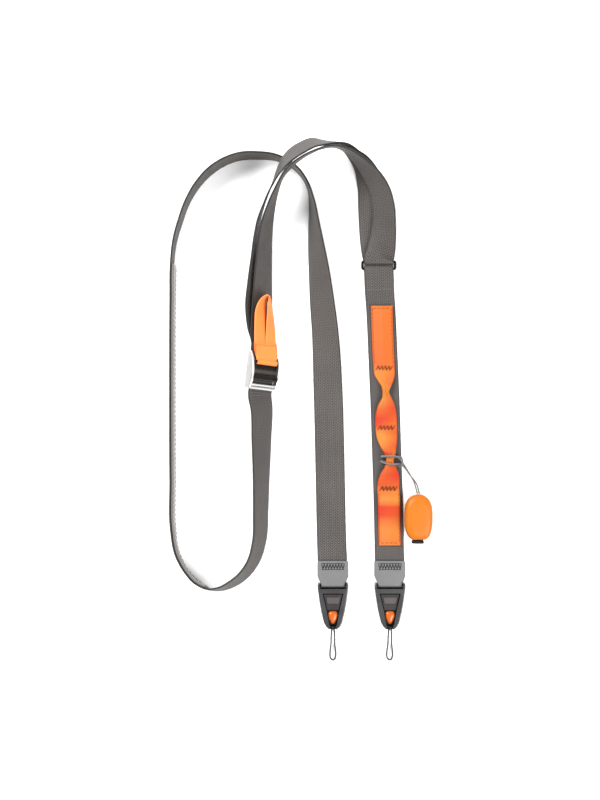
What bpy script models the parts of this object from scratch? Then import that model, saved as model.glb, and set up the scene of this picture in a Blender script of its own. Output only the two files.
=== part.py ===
"""Phone strap lying on a table: woven webbing on edge and flat, a cam buckle, a slide ring,
two end connectors, a sewn ribbon and a pod on a cord.

The origin is the middle of the footprint at table height. +Y runs up the strap from the
connectors to the arch, and +Z is up.
"""

import math

import bmesh
import bpy
import numpy as np
from mathutils import Matrix

# Sizes in metres.
WEBBING_WIDTH = 0.020
WEBBING_THICKNESS = 0.0012
PAD_THICKNESS = 0.0014
CLEARANCE = 0.0003
STATION_STEP = 0.0065
RING_WIRE = 0.0018
RING_SPACING = RING_WIRE + 2 * WEBBING_THICKNESS + 3 * CLEARANCE
BUCKLE_LENGTH = 0.0252
BUCKLE_SHIFT = 0.0018
BUCKLE_PLATE = 0.0012
BUCKLE_HEIGHT = 0.0078
BUCKLE_TILT = math.radians(40.0)
BUCKLE_TURN = math.radians(-6.5)
PULL_WIDTH = 0.0200
RIBBON_WIDTH = 0.0154
RIBBON_THICKNESS = 0.0010
TAB_PLY = 0.0010
HOUSING_LENGTH = 0.0315
HOUSING_WIDTH = 0.0208
HOUSING_THICKNESS = 0.0064
LOOP_CORD = 0.0012
POD_LENGTH = 0.0308
POD_WIDTH = 0.0190
POD_THICKNESS = 0.0120

# The bands' routes. x, y and lift (of the lower edge over the table) are in webbing widths.
# roll is the angle of the left-hand edge over the horizontal, in degrees, looking along the route.
ROUTE_COLUMNS = ("x", "y", "lift", "roll")
LEFT_BAND = (
    (1.494, -6.420, 0.078, 0),
    (1.482, -5.960, 0.078, 0),
    (1.464, -5.480, 0.005, 0),
    (1.405, -2.900, 0.0, 0),
    (1.330, -0.130, 0.0, -10),
    (1.224, 1.914, 0.0, -27),
    (1.120, 2.930, 0.0, -36),
    (1.034, 3.807, 0.0, -46),
    (0.940, 4.614, 0.0, -57),
    (0.855, 5.421, 0.0, -69),
    (0.780, 6.200, 0.0, -81),
    (0.640, 6.790, 0.0, -89),
    (0.392, 7.210, 0.0, -90),
    (-0.020, 7.560, 0.0, -90),
    (-0.480, 7.745, 0.0, -89),
    (-1.045, 7.800, 0.0, -87),
    (-1.646, 7.775, 0.0, -87),
    (-2.195, 7.586, 0.0, -87),
    (-2.720, 7.230, 0.0, -87),
    (-3.110, 6.790, 0.0, -88),
    (-3.420, 6.270, 0.0, -89),
    (-3.670, 5.600, 0.0, -89),
    (-3.865, 4.900, 0.0, -90),
    (-3.955, 4.120, 0.0, -91),
    (-3.980, 2.900, 0.0, -92),
    (-3.990, -0.130, 0.0, -92),
    (-3.981, -3.170, 0.0, -92),
    (-3.965, -4.830, 0.0, -93),
    (-3.830, -5.660, 0.0, -95),
    (-3.566, -6.210, 0.0, -97),
    (-3.150, -6.680, 0.0, -98),
    (-2.737, -6.872, 0.0, -100),
    (-2.370, -6.868, 0.0, -104),
    (-1.960, -6.710, 0.0, -109),
    (-1.537, -6.400, 0.0, -112),
    (-1.190, -5.900, 0.0, -114),
    (-1.000, -5.210, 0.0, -116),
    (-0.955, -4.200, 0.0, -118),
    (-0.940, -3.180, 0.0, -121),
    (-0.930, -1.830, 0.03, -129),
    (-0.930, -0.700, 0.10, -136),
)
INNER_BAND = (
    (-0.905, 1.560, 0.12, -138),
    (-0.915, 2.300, 0.10, -133),
    (-0.890, 3.240, 0.07, -127),
    (-0.845, 4.332, 0.09, -120),
    (-0.805, 4.950, 0.20, -115),
    (-0.730, 5.490, 0.36, -109),
    (-0.602, 5.990, 0.55, -101),
    (-0.444, 6.440, 0.76, -94),
    (-0.300, 6.745, 0.92, -89),
    (-0.045, 7.110, 1.07, -88),
    (0.198, 7.330, 1.12, -86),
    (0.486, 7.532, 1.10, -84),
    (0.834, 7.728, 1.02, -82),
    (1.210, 7.880, 0.92, -81),
    (1.570, 7.930, 0.83, -82),
    (1.930, 7.830, 0.73, -87),
    (2.240, 7.620, 0.64, -95),
    (2.500, 7.380, 0.54, -104),
    (2.838, 6.980, 0.42, -116),
    (3.075, 6.540, 0.33, -125),
    (3.200, 6.000, 0.25, -132),
    (3.215, 5.422, 0.16, -139),
    (3.175, 4.900, 0.12, -151),
    (3.110, 4.500, 0.12, -168),
)
OUTER_BAND = (
    (3.000, 4.500, 0.0, -180),
    (2.930, 4.950, 0.0, -179),
    (2.890, 5.490, 0.0, -176),
    (2.850, 6.140, 0.0, -166),
    (2.795, 6.780, 0.0, -152),
    (2.640, 7.240, 0.0, -132),
    (2.380, 7.660, 0.04, -113),
    (2.140, 7.880, 0.16, -99),
    (1.860, 8.040, 0.40, -90),
    (1.480, 8.100, 0.70, -80),
    (1.076, 8.072, 0.93, -66),
    (0.768, 8.020, 1.02, -60),
    (0.514, 7.892, 1.08, -58),
    (0.249, 7.731, 1.10, -58),
    (0.019, 7.524, 1.12, -62),
    (-0.165, 7.318, 1.11, -68),
    (-0.365, 7.033, 1.00, -77),
    (-0.570, 6.640, 0.78, -84.5),
    (-0.800, 6.140, 0.55, -87),
    (-1.000, 5.580, 0.36, -91),
    (-1.120, 5.000, 0.20, -93),
    (-1.200, 4.300, 0.06, -96),
    (-1.250, 3.500, 0.0, -104),
    (-1.210, 2.700, 0.0, -120),
    (-1.060, 2.050, 0.02, -134),
)
FRONT_BAND = (
    (3.125, 2.850, 0.0, 0),
    (3.152, 2.400, 0.0, 0),
    (3.215, 1.000, 0.0, 0),
    (3.285, -0.600, 0.0, 0),
    (3.338, -2.200, 0.0, 0),
    (3.403, -4.300, 0.0, 0),
    (3.428, -5.480, 0.005, 0),
    (3.435, -5.960, 0.078, 0),
    (3.440, -6.420, 0.078, 0),
)
BUCKLE_AT = (-0.905, 0.430)
RING_AT = (3.063, 4.130)
PAD_SPAN = (4.15, -6.86)

# Collections: one for the strap, one for what only cuts or guides.
for old in list(bpy.data.objects):
    bpy.data.objects.remove(old)
strap = bpy.data.collections.new("phone_strap")
bpy.context.scene.collection.children.link(strap)
helpers = bpy.data.collections.new("helpers")
helpers.hide_render = True
bpy.context.scene.collection.children.link(helpers)


def unit(v):
    v = np.asarray(v, float)
    return v / np.linalg.norm(v, axis=-1, keepdims=True)


# Materials.
def material(name, color, rough, metal=0.0):
    made = bpy.data.materials.new(name)
    made.use_nodes = True
    node = made.node_tree.nodes["Principled BSDF"]
    node.inputs["Base Color"].default_value = (*color, 1.0)
    node.inputs["Roughness"].default_value = rough
    node.inputs["Metallic"].default_value = metal
    return made


def add(name, mesh, look, smooth=False, where=strap):
    """An object of this name, mesh and material in a collection."""
    obj = bpy.data.objects.new(name, mesh)
    where.objects.link(obj)
    if where is helpers:
        obj.hide_render = True
        obj.display_type = "WIRE"
    if look is not None:
        mesh.materials.clear()
        mesh.materials.append(look)
    for face in mesh.polygons:
        face.use_smooth = smooth
    return obj


def mesh_of(name, points, faces):
    mesh = bpy.data.meshes.new(name)
    mesh.from_pydata([tuple(p) for p in points], [], faces)
    mesh.validate()
    made = bmesh.new()
    made.from_mesh(mesh)
    bmesh.ops.recalc_face_normals(made, faces=made.faces)
    made.to_mesh(mesh)
    made.free()
    return mesh


def apply_all(obj):
    """The object's mesh with its modifiers made part of it."""
    bpy.context.view_layer.update()
    graph = bpy.context.evaluated_depsgraph_get()
    mesh = bpy.data.meshes.new_from_object(obj.evaluated_get(graph), depsgraph=graph)
    obj.modifiers.clear()
    obj.data = mesh
    return obj


def combine(obj, others, operation):
    """Joins or cuts obj with each of the other objects, which are kept as helpers."""
    for other in others:
        boolean = obj.modifiers.new(operation.title(), "BOOLEAN")
        boolean.operation = operation
        boolean.solver = "EXACT"
        boolean.object = other
        apply_all(obj)
        for holder in list(other.users_collection):
            holder.objects.unlink(other)
        helpers.objects.link(other)
        other.hide_render = True
        other.display_type = "WIRE"
    return obj


# Routes: a smooth curve through the rows of a table.
def rows_to_points(table):
    """Centre points and rolls, with the centre high enough for the lower edge to be at the row's lift."""
    rows = np.array(table, float)
    roll = np.radians(rows[:, 3])
    rise = np.abs(np.sin(roll)) * WEBBING_WIDTH / 2 + np.abs(np.cos(roll)) * WEBBING_THICKNESS / 2
    points = rows[:, :3] * WEBBING_WIDTH
    points[:, 2] += rise
    return np.column_stack([points, roll])


def smooth_through(rows, step):
    """Points every step along a Catmull-Rom curve through the rows, any number of columns, x, y, z first."""
    length = np.linalg.norm(np.diff(rows[:, :3], axis=0), axis=1)
    at = np.concatenate([[0.0], np.cumsum(length)])
    slope = np.gradient(rows, at, axis=0)
    count = max(2, int(round(at[-1] / step)) + 1)
    t = np.linspace(0.0, at[-1], count)
    k = np.clip(np.searchsorted(at, t, side="right") - 1, 0, len(length) - 1)
    h = length[k][:, None]
    s = ((t - at[k]) / length[k])[:, None]
    return (
        (2 * s**3 - 3 * s**2 + 1) * rows[k]
        + (s**3 - 2 * s**2 + s) * h * slope[k]
        + (3 * s**2 - 2 * s**3) * rows[k + 1]
        + (s**3 - s**2) * h * slope[k + 1]
    )


def with_edges(stations):
    """(centres, width directions) of stations whose fourth column is the roll."""
    centre = stations[:, :3]
    along = unit(np.gradient(centre, axis=0))
    left = unit(np.column_stack([-along[:, 1], along[:, 0], np.zeros(len(along))]))
    roll = stations[:, 3][:, None]
    across = np.cos(roll) * left + np.sin(roll) * np.array([0.0, 0.0, 1.0])
    across -= (across * along).sum(1, keepdims=True) * along
    return centre, unit(across)


def on_table(centre, across, width, thickness):
    """The centres, each raised until the band's lowest corner is just over the table."""
    along = unit(np.gradient(centre, axis=0))
    face = np.cross(along, across)
    low = centre[:, 2] - np.abs(across[:, 2]) * width / 2 - np.abs(face[:, 2]) * thickness / 2
    raised = centre.copy()
    raised[:, 2] += np.maximum(0.0001 - low, 0.0)
    return raised


def band(name, centre, across, width, thickness, look):
    """A band of this width and thickness along the centres, made as a sheet and thickened on both sides."""
    half = across * np.reshape(width, (-1, 1)) / 2
    points = np.stack([centre + half, centre - half], axis=1).reshape(-1, 3)
    faces = [(2 * i, 2 * i + 1, 2 * i + 3, 2 * i + 2) for i in range(len(centre) - 1)]
    mesh = bpy.data.meshes.new(name)
    mesh.from_pydata([tuple(p) for p in points], [], faces)
    obj = add(name, mesh, look)
    thick = obj.modifiers.new("Thickness", "SOLIDIFY")
    thick.thickness = thickness
    thick.offset = 0.0
    return obj


def box(name, size, centre, frame=None, look=None, bevel=0.0, segments=2, where=strap):
    """A box of this size, its middle at centre in the frame, with rounded edges."""
    made = bmesh.new()
    bmesh.ops.create_cube(made, size=1.0)
    bmesh.ops.scale(made, vec=size, verts=made.verts)
    bmesh.ops.translate(made, vec=centre, verts=made.verts)
    mesh = bpy.data.meshes.new(name)
    made.to_mesh(mesh)
    made.free()
    obj = add(name, mesh, look, where=where)
    if bevel:
        rounded = obj.modifiers.new("Bevel", "BEVEL")
        rounded.width = bevel
        rounded.segments = segments
        apply_all(obj)
    if frame is not None:
        obj.data.transform(frame)
    return obj


def rod(name, length, radius, centre, frame=None, look=None, sides=20, where=strap):
    """A round bar along X of the frame."""
    made = bmesh.new()
    bmesh.ops.create_cone(
        made, cap_ends=True, segments=sides, radius1=radius, radius2=radius, depth=length
    )
    mesh = bpy.data.meshes.new(name)
    made.to_mesh(mesh)
    made.free()
    turn = np.array([[0, 0, 1, centre[0]], [0, 1, 0, centre[1]], [-1, 0, 0, centre[2]], [0, 0, 0, 1.0]])
    mesh.transform(matrix(turn))
    if frame is not None:
        mesh.transform(frame)
    return add(name, mesh, look, smooth=False, where=where)


def matrix(rows):
    return Matrix([tuple(float(x) for x in row) for row in rows])


def frame_at(origin, u, v, n):
    return matrix(np.vstack([np.column_stack([u, v, n, origin]), [0, 0, 0, 1]]))


def prism(name, outline, low, high, frame=None, look=None, bevel=0.0, segments=2, where=strap):
    """An outline in the frame's XY plane, filled and raised from low to high, with rounded edges."""
    count = len(outline)
    points = [(x, y, low) for x, y in outline] + [(x, y, high) for x, y in outline]
    faces = [tuple(range(count))[::-1], tuple(range(count, 2 * count))]
    faces += [(i, (i + 1) % count, count + (i + 1) % count, count + i) for i in range(count)]
    obj = add(name, mesh_of(name, points, faces), look, where=where)
    if bevel:
        rounded = obj.modifiers.new("Bevel", "BEVEL")
        rounded.width = bevel
        rounded.segments = segments
        rounded.limit_method = "ANGLE"
        rounded.angle_limit = math.radians(40.0)
        apply_all(obj)
    if frame is not None:
        obj.data.transform(frame)
    return obj


webbing_grey = material("webbing_grey", (0.130, 0.118, 0.112), 0.75)
pad_grey = material("pad_grey", (0.45, 0.43, 0.43), 0.85)
ribbon_orange = material("ribbon_orange", (0.95, 0.24, 0.045), 0.6)
tab_grey = material("tab_grey", (0.30, 0.30, 0.31), 0.6)
housing_grey = material("housing_grey", (0.10, 0.10, 0.105), 0.45)
latch_grey = material("latch_grey", (0.15, 0.14, 0.14), 0.45)
anchor_orange = material("anchor_orange", (0.90, 0.22, 0.07), 0.4)
black = material("black", (0.02, 0.019, 0.018), 0.4)
steel = material("steel", (0.62, 0.62, 0.62), 0.25, 1.0)
cord_grey = material("cord_grey", (0.16, 0.16, 0.16), 0.7)
pod_orange = material("pod_orange", (0.93, 0.27, 0.035), 0.35)

# The slide ring: two bars across the bands and two short ends.
UP = np.array([0.0, 0.0, 1.0])
ring_centre = np.array([RING_AT[0] * WEBBING_WIDTH, RING_AT[1] * WEBBING_WIDTH, 0.0])
turn_radius = RING_WIRE / 2 + CLEARANCE + WEBBING_THICKNESS / 2
ring_centre[2] = turn_radius + WEBBING_THICKNESS / 2 + 0.0001
ring_half = WEBBING_WIDTH / 2 + CLEARANCE + RING_WIRE / 2
corner = RING_WIRE * 0.6
ring_path = []
for cx, cy, start in ((1, 1, 0), (-1, 1, 90), (-1, -1, 180), (1, -1, 270)):
    for step in range(5):
        angle = math.radians(start + 22.5 * step)
        ring_path.append(
            (
                ring_centre[0] + cx * (ring_half - corner) + corner * math.cos(angle),
                ring_centre[1] + cy * (RING_SPACING / 2 - corner) + corner * math.sin(angle),
                ring_centre[2],
            )
        )
wire = bpy.data.curves.new("slide_ring", "CURVE")
wire.dimensions = "3D"
wire.bevel_depth = RING_WIRE / 2
wire.bevel_resolution = 3
spline = wire.splines.new("POLY")
spline.points.add(len(ring_path) - 1)
for point, place in zip(spline.points, ring_path):
    point.co = (*place, 1.0)
spline.use_cyclic_u = True
ring = bpy.data.objects.new("slide_ring", wire)
wire.materials.append(black)
strap.objects.link(ring)


def fold(bar_y, start_deg, end_deg, count):
    """Stations round a ring bar at bar_y, angles in the YZ plane, with the width along -X."""
    angle = np.radians(np.linspace(start_deg, end_deg, count))
    x = np.full(count, ring_centre[0])
    y = bar_y + turn_radius * np.cos(angle)
    z = ring_centre[2] + turn_radius * np.sin(angle)
    return np.column_stack([x, y, z])


# The main band: left side and loop, through the buckle, over the arch to the ring, round it and back.
turn_u = np.array([math.cos(BUCKLE_TURN), math.sin(BUCKLE_TURN), 0.0])
buckle_v = np.array([-math.sin(BUCKLE_TURN), math.cos(BUCKLE_TURN), 0.0])
buckle_u = unit(math.cos(BUCKLE_TILT) * turn_u - math.sin(BUCKLE_TILT) * UP)
buckle_n = np.cross(buckle_u, buckle_v)
buckle_lift = math.sin(BUCKLE_TILT) * (WEBBING_WIDTH / 2 + CLEARANCE + BUCKLE_PLATE)
buckle_lift += math.cos(BUCKLE_TILT) * BUCKLE_HEIGHT * 0.42
buckle_centre = np.array([BUCKLE_AT[0] * WEBBING_WIDTH, BUCKLE_AT[1] * WEBBING_WIDTH, buckle_lift])
buckle_frame_matrix = frame_at(buckle_centre, buckle_u, buckle_v, buckle_n)


def in_buckle(u, v, n):
    return buckle_centre + u * buckle_u + v * buckle_v + n * buckle_n


buckle_roll = -(math.pi - BUCKLE_TILT)
through = np.array(
    [[*in_buckle(0, v, 0), buckle_roll] for v in np.linspace(-0.56, 0.66, 7) * BUCKLE_LENGTH]
)
bar_top = ring_centre[1] + RING_SPACING / 2
bar_low = ring_centre[1] - RING_SPACING / 2
ring_top = ring_centre[2] + turn_radius
inner_end = np.array(
    [
        [ring_centre[0] + 0.0002, bar_top + 0.0026, ring_top - 0.0001, -math.pi],
        [ring_centre[0], bar_top + 0.0004, ring_top, -math.pi],
    ]
)
left_part = smooth_through(
    np.vstack([rows_to_points(LEFT_BAND), through, rows_to_points(INNER_BAND), inner_end]), STATION_STEP
)
c1, w1 = with_edges(left_part)
c2 = fold(bar_top, 90, 270, 13)
w2 = np.tile([-1.0, 0.0, 0.0], (len(c2), 1))
REAR_BAR_V = BUCKLE_LENGTH / 2 + BUCKLE_SHIFT - 0.0018
REAR_BAR = 0.0010
OUTER_DROP = 0.0024
rear = np.array(
    [
        [*in_buckle(-0.0001, REAR_BAR_V + 0.0085, -OUTER_DROP - 0.0006), buckle_roll],
        [*in_buckle(0, REAR_BAR_V + 0.0045, -OUTER_DROP - 0.0002), buckle_roll],
        [*in_buckle(0, REAR_BAR_V + REAR_BAR + CLEARANCE, -OUTER_DROP), buckle_roll],
    ]
)
outer_rows = np.vstack([rows_to_points(OUTER_BAND), rear])
outer_rows[:, 3] = -math.pi - outer_rows[:, 3]
outer_start = np.array([[ring_centre[0], bar_top + 0.0010, ring_centre[2] - turn_radius, 0.0]])
right_part = smooth_through(np.vstack([outer_start, outer_rows]), STATION_STEP)
c3, w3 = with_edges(right_part)
across = np.vstack([w1, w2, w3])
centre = on_table(np.vstack([c1, c2, c3]), across, WEBBING_WIDTH, WEBBING_THICKNESS)
main = band("main_webbing", centre, across, WEBBING_WIDTH, WEBBING_THICKNESS, webbing_grey)

# The pad: a second layer on the inside of the loop, between two heights on the left side and the bottom.
left_centre, left_across = centre[: len(c1)], w1
along = unit(np.gradient(left_centre, axis=0))
inward = np.cross(along, left_across)
inside = [
    i
    for i in range(len(left_centre))
    if PAD_SPAN[1] * WEBBING_WIDTH <= left_centre[i, 1] <= PAD_SPAN[0] * WEBBING_WIDTH
    and left_centre[i, 0] < -2.66 * WEBBING_WIDTH
]
offset = (WEBBING_THICKNESS + PAD_THICKNESS) / 2 + CLEARANCE + 0.00005
side = 1.0 if (inward[inside[len(inside) // 2], 0] > 0) else -1.0
pad_centre = left_centre[inside] + side * offset * inward[inside]
pad_centre = on_table(pad_centre, left_across[inside], WEBBING_WIDTH - 0.0002, PAD_THICKNESS)
pad = band("shoulder_pad", pad_centre, left_across[inside], WEBBING_WIDTH - 0.0002, PAD_THICKNESS, pad_grey)

# The front band: its sewn end under the ring's lower bar, round the bar and down to the right connector.
low_ply = np.array(
    [
        [ring_centre[0] + 0.0005, bar_low - 0.0140, WEBBING_THICKNESS / 2 + 0.0001, 0.0],
        [ring_centre[0], bar_low - 0.0010, ring_centre[2] - turn_radius, 0.0],
    ]
)
f1, g1 = with_edges(smooth_through(low_ply, STATION_STEP))
f2 = fold(bar_low, -90, 90, 13)[1:-1]
top_rows = rows_to_points(FRONT_BAND)
top_start = np.array(
    [
        [ring_centre[0], bar_low - 0.0002, ring_top, 0.0],
        [ring_centre[0], bar_low - 0.0020, ring_top - 0.0001, 0.0],
        [ring_centre[0] + 0.0003, bar_low - 0.0070, WEBBING_THICKNESS * 1.5 + 0.0012, 0.0],
        [ring_centre[0] + 0.0005, bar_low - 0.0145, WEBBING_THICKNESS * 1.5 + 0.0006, 0.0],
    ]
)
f3, g3 = with_edges(smooth_through(np.vstack([top_start, top_rows]), STATION_STEP))
front_centre = np.vstack([f1, f2, f3])
front_across = np.tile([-1.0, 0.0, 0.0], (len(front_centre), 1))
front_across[: len(f1)] = -np.abs(g1[:, :1]) * [1.0, 0, 0]
front_across[len(f1) + len(f2) :] = -g3 * np.sign(g3[:, :1])
front_across = unit(front_across)
front_centre = on_table(front_centre, front_across, WEBBING_WIDTH, WEBBING_THICKNESS)
front = band("front_webbing", front_centre, front_across, WEBBING_WIDTH, WEBBING_THICKNESS, webbing_grey)

# The cam buckle, in its own axes: u across the band, v up the strap, n out of the band's upper face.
FACE = WEBBING_THICKNESS / 2 + CLEARANCE
BAR = 0.0010
PIN = 0.0009
PIN_V = -0.0030
PIN_N = 0.0031
plate_u = WEBBING_WIDTH / 2 + CLEARANCE + BUCKLE_PLATE / 2
plate_low = -0.42 * BUCKLE_HEIGHT
plate_outline = [
    (-BUCKLE_LENGTH / 2, plate_low + 0.0004),
    (-BUCKLE_LENGTH / 2 + 0.0006, plate_low),
    (BUCKLE_LENGTH / 2 - 0.0010, plate_low),
    (BUCKLE_LENGTH / 2, plate_low + 0.0012),
    (BUCKLE_LENGTH / 2, plate_low + 0.0034),
    (BUCKLE_LENGTH / 2 - 0.0050, plate_low + 0.0062),
    (PIN_V + 0.0036, plate_low + BUCKLE_HEIGHT),
    (PIN_V - 0.0034, plate_low + BUCKLE_HEIGHT),
    (-BUCKLE_LENGTH / 2 + 0.0010, plate_low + BUCKLE_HEIGHT - 0.0016),
    (-BUCKLE_LENGTH / 2, plate_low + BUCKLE_HEIGHT - 0.0030),
]
# The plates' outline is drawn in (v, n), so its frame has X along v, Y along n and Z along u.
side_frame = frame_at(buckle_centre, buckle_v, buckle_n, buckle_u)
plates = [
    prism(
        f"plate{k}",
        [(v + BUCKLE_SHIFT, n) for v, n in plate_outline],
        at - BUCKLE_PLATE / 2,
        at + BUCKLE_PLATE / 2,
        side_frame,
        steel,
        bevel=0.00025,
    )
    for k, at in enumerate((-plate_u, plate_u))
]
span = 2 * plate_u + 0.0002
bars = [
    rod("rear_bar", span, REAR_BAR, (0, REAR_BAR_V, -OUTER_DROP), buckle_frame_matrix, steel, sides=16),
    rod("front_bar", span, BAR, (0, -0.0080, FACE + BAR), buckle_frame_matrix, steel, sides=16),
    rod("edge_bar", span, BAR, (0, -0.0102, FACE + BAR), buckle_frame_matrix, steel, sides=16),
    box(
        "base_plate", (span, 0.0070, 0.0012), (0, -0.0010, -FACE - 0.0006), buckle_frame_matrix, steel, 0.0002
    ),
]
buckle = plates[0]
buckle.name = "buckle_frame"
combine(buckle, [plates[1], *bars], "UNION")
pin_hole = rod("pin_hole", span + 0.01, PIN + CLEARANCE, (0, PIN_V, PIN_N), buckle_frame_matrix, sides=20)
combine(buckle, [pin_hole], "DIFFERENCE")

# The cam: a barrel on the pin, a lever plate and, past it, a bar between two arms for the pull tab.
PULL_BAR_V = 0.0076
CAM_HALF = WEBBING_WIDTH / 2 - 0.0002
barrel = PIN_N - FACE
cam = rod("buckle_cam", 2 * CAM_HALF, barrel, (0, PIN_V, PIN_N), buckle_frame_matrix, black, sides=28)
lever_size = (2 * (CAM_HALF - 0.0002), 0.0082, 0.0020)
lever_at = (0, PIN_V + 0.0041, FACE + 0.0014)
lever = box("lever", lever_size, lever_at, buckle_frame_matrix, black, 0.0004)
arms = [
    box(
        f"arm{k}",
        (0.0012, PULL_BAR_V - PIN_V + 0.0010, 0.0022),
        (side_of * (CAM_HALF - 0.0007), (PULL_BAR_V + PIN_V + 0.0010) / 2, PIN_N - 0.0002),
        buckle_frame_matrix,
        black,
        0.0003,
    )
    for k, side_of in enumerate((-1, 1))
]
pull_bar_at = (0, PULL_BAR_V, PIN_N)
pull_bar = rod("pull_bar", 2 * CAM_HALF - 0.001, 0.0009, pull_bar_at, buckle_frame_matrix, black, sides=14)
combine(cam, [lever, *arms, pull_bar], "UNION")
pin_place = (0, PIN_V, PIN_N)
cam_bore = rod("cam_bore", 0.03, PIN + CLEARANCE, pin_place, buckle_frame_matrix, sides=20)
combine(cam, [cam_bore], "DIFFERENCE")
pin_length = 2 * plate_u + BUCKLE_PLATE + 0.0010
pin = rod("cam_pin", pin_length, PIN, pin_place, buckle_frame_matrix, steel, sides=20)

# The pull tab: a sleeve round the cam's bar, a flat sewn part and a narrow ribbon looped at the top.
# Its axes: s down the slope, y up the strap, n off the slope.
SLOPE = math.radians(45.0)
pull_s = np.array([math.cos(SLOPE), 0.0, -math.sin(SLOPE)])
pull_n = np.array([math.sin(SLOPE), 0.0, math.cos(SLOPE)])
pull_start = in_buckle(0, PULL_BAR_V, PIN_N)
PULL_PLY = 0.0009
SEAM_Y = 0.0118
PULL_LENGTH = 0.0450


def in_pull(s, y, n):
    return pull_start + s * pull_s + np.array([0.0, y, 0.0]) + n * pull_n


sleeve_u = 2 * (CAM_HALF - 0.0012 - CLEARANCE)
panel_rows = (
    (buckle_u, (0.0, 0.0, 0.0), sleeve_u),
    (buckle_u, (0.0001, 0.0019, 0.0), sleeve_u),
    (buckle_u, (0.0001, 0.0042, 0.0), PULL_WIDTH - 0.0014),
    (unit(buckle_u + pull_s), (-0.0006, 0.0080, 0.0002), PULL_WIDTH),
    (pull_s, (-0.0014, SEAM_Y + 0.0012, 0.0004), PULL_WIDTH),
)
panel = band(
    "pull_tab",
    np.array([in_pull(*row[1]) for row in panel_rows]),
    np.array([row[0] for row in panel_rows]),
    np.array([row[2] for row in panel_rows]),
    2 * PULL_PLY,
    ribbon_orange,
)
apply_all(panel)
# Columns: the middle's x and z from the bar in pull widths, its y as a share of the loop's length, and its
# roll off the table.
PULL_LOOP = (
    (-0.2085, 0.000, 0.237, 45),
    (-0.2100, 0.217, 0.245, 45),
    (-0.2050, 0.458, 0.265, 46),
    (-0.1950, 0.639, 0.290, 48),
    (-0.1450, 0.789, 0.315, 56),
    (-0.0450, 0.916, 0.330, 72),
    (0.0450, 0.970, 0.320, 88),
    (0.0950, 0.928, 0.280, 96),
    (0.1150, 0.819, 0.210, 102),
    (0.1275, 0.639, 0.110, 110),
    (0.1375, 0.428, 0.015, 120),
    (0.1425, 0.217, -0.065, 129),
    (0.1380, 0.000, -0.110, 135),
)
loop_rows = np.array(PULL_LOOP) * [PULL_WIDTH, PULL_LENGTH - SEAM_Y, PULL_WIDTH, math.radians(1.0)]
loop_rows[:, :3] += pull_start + [0.0, SEAM_Y, 0.0]
loop_centre, loop_across = with_edges(smooth_through(loop_rows, 0.0016))
loop = band(
    "pull_loop", loop_centre, loop_across, PULL_WIDTH / 2 - 0.0004, PULL_PLY, ribbon_orange
)
apply_all(loop)
sleeve = rod("pull_sleeve", sleeve_u, 0.0019, pull_bar_at, buckle_frame_matrix, ribbon_orange, sides=20)
combine(panel, [loop, sleeve], "UNION")
pull_bore = rod("pull_bore", 3 * CAM_HALF, 0.0009 + CLEARANCE, pull_bar_at, buckle_frame_matrix, sides=18)
combine(panel, [pull_bore], "DIFFERENCE")

# The sewn ribbon on the front band. Columns: y and x in webbing widths, then width as a share of the
# ribbon's, thickness as a share of the ribbon's, and lift off the band as a share of that thickness.
RIBBON_ROWS = (
    (2.745, 3.165, 0.965, 1.0, 1.0),
    (2.4, 3.175, 0.965, 1.0, 0.5),
    (1.585, 3.202, 0.965, 1.0, 0.0),
    (0.64, 3.247, 0.945, 1.0, 0.0),
    (0.42, 3.26, 0.925, 1.2, 0.3),
    (0.18, 3.295, 0.69, 1.8, 0.9),
    (-0.025, 3.312, 0.42, 2.8, 1.0),
    (-0.196, 3.298, 0.3, 3.4, 1.0),
    (-0.367, 3.329, 0.41, 3.0, 1.0),
    (-0.64, 3.322, 0.74, 2.2, 1.2),
    (-0.984, 3.312, 0.93, 1.4, 0.6),
    (-1.395, 3.32, 0.965, 1.0, 0.0),
    (-1.737, 3.337, 0.92, 1.3, 0.8),
    (-2.08, 3.388, 0.7, 2.0, 1.5),
    (-2.354, 3.445, 0.44, 3.0, 1.7),
    (-2.525, 3.431, 0.33, 3.4, 1.8),
    (-2.731, 3.45, 0.49, 3.0, 1.7),
    (-3.005, 3.423, 0.82, 2.0, 1.4),
    (-3.279, 3.399, 0.97, 1.4, 0.6),
    (-3.484, 3.39, 0.985, 1.0, 0.0),
    (-3.69, 3.402, 0.99, 1.5, 0.7),
    (-3.895, 3.411, 0.99, 1.6, 1.4),
    (-4.24, 3.416, 0.985, 1.3, 0.9),
    (-4.65, 3.423, 0.985, 1.0, 0.2),
    (-5.435, 3.441, 0.98, 1.0, 0.0),
)
table = np.array(RIBBON_ROWS)
fine = smooth_through(table, 0.11)
ring_sides = 12
turn = np.linspace(0, 2 * math.pi, ring_sides, endpoint=False)
squash = 0.45 + 0.55 * np.clip((fine[:, 3:4] - 1.0) / 2.0, 0, 1)
cosine = np.sign(np.cos(turn)) * np.abs(np.cos(turn)) ** squash
sine = np.sign(np.sin(turn)) * np.abs(np.sin(turn)) ** squash
half_width = fine[:, 2:3] * RIBBON_WIDTH / 2
half_thick = fine[:, 3:4] * RIBBON_THICKNESS / 2
base = WEBBING_THICKNESS + 0.0001 + CLEARANCE
middle = base + fine[:, 4:5] * RIBBON_THICKNESS + half_thick
ribbon_points = np.stack(
    [
        fine[:, 1:2] * WEBBING_WIDTH + half_width * cosine,
        fine[:, 0:1] * WEBBING_WIDTH + 0 * cosine,
        middle + half_thick * sine,
    ],
    axis=-1,
).reshape(-1, 3)


def tube_faces(rows, sides):
    faces = [tuple(range(sides))[::-1], tuple(range((rows - 1) * sides, rows * sides))]
    for i in range(rows - 1):
        for j in range(sides):
            k = (j + 1) % sides
            faces.append((i * sides + j, i * sides + k, (i + 1) * sides + k, (i + 1) * sides + j))
    return faces


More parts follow.
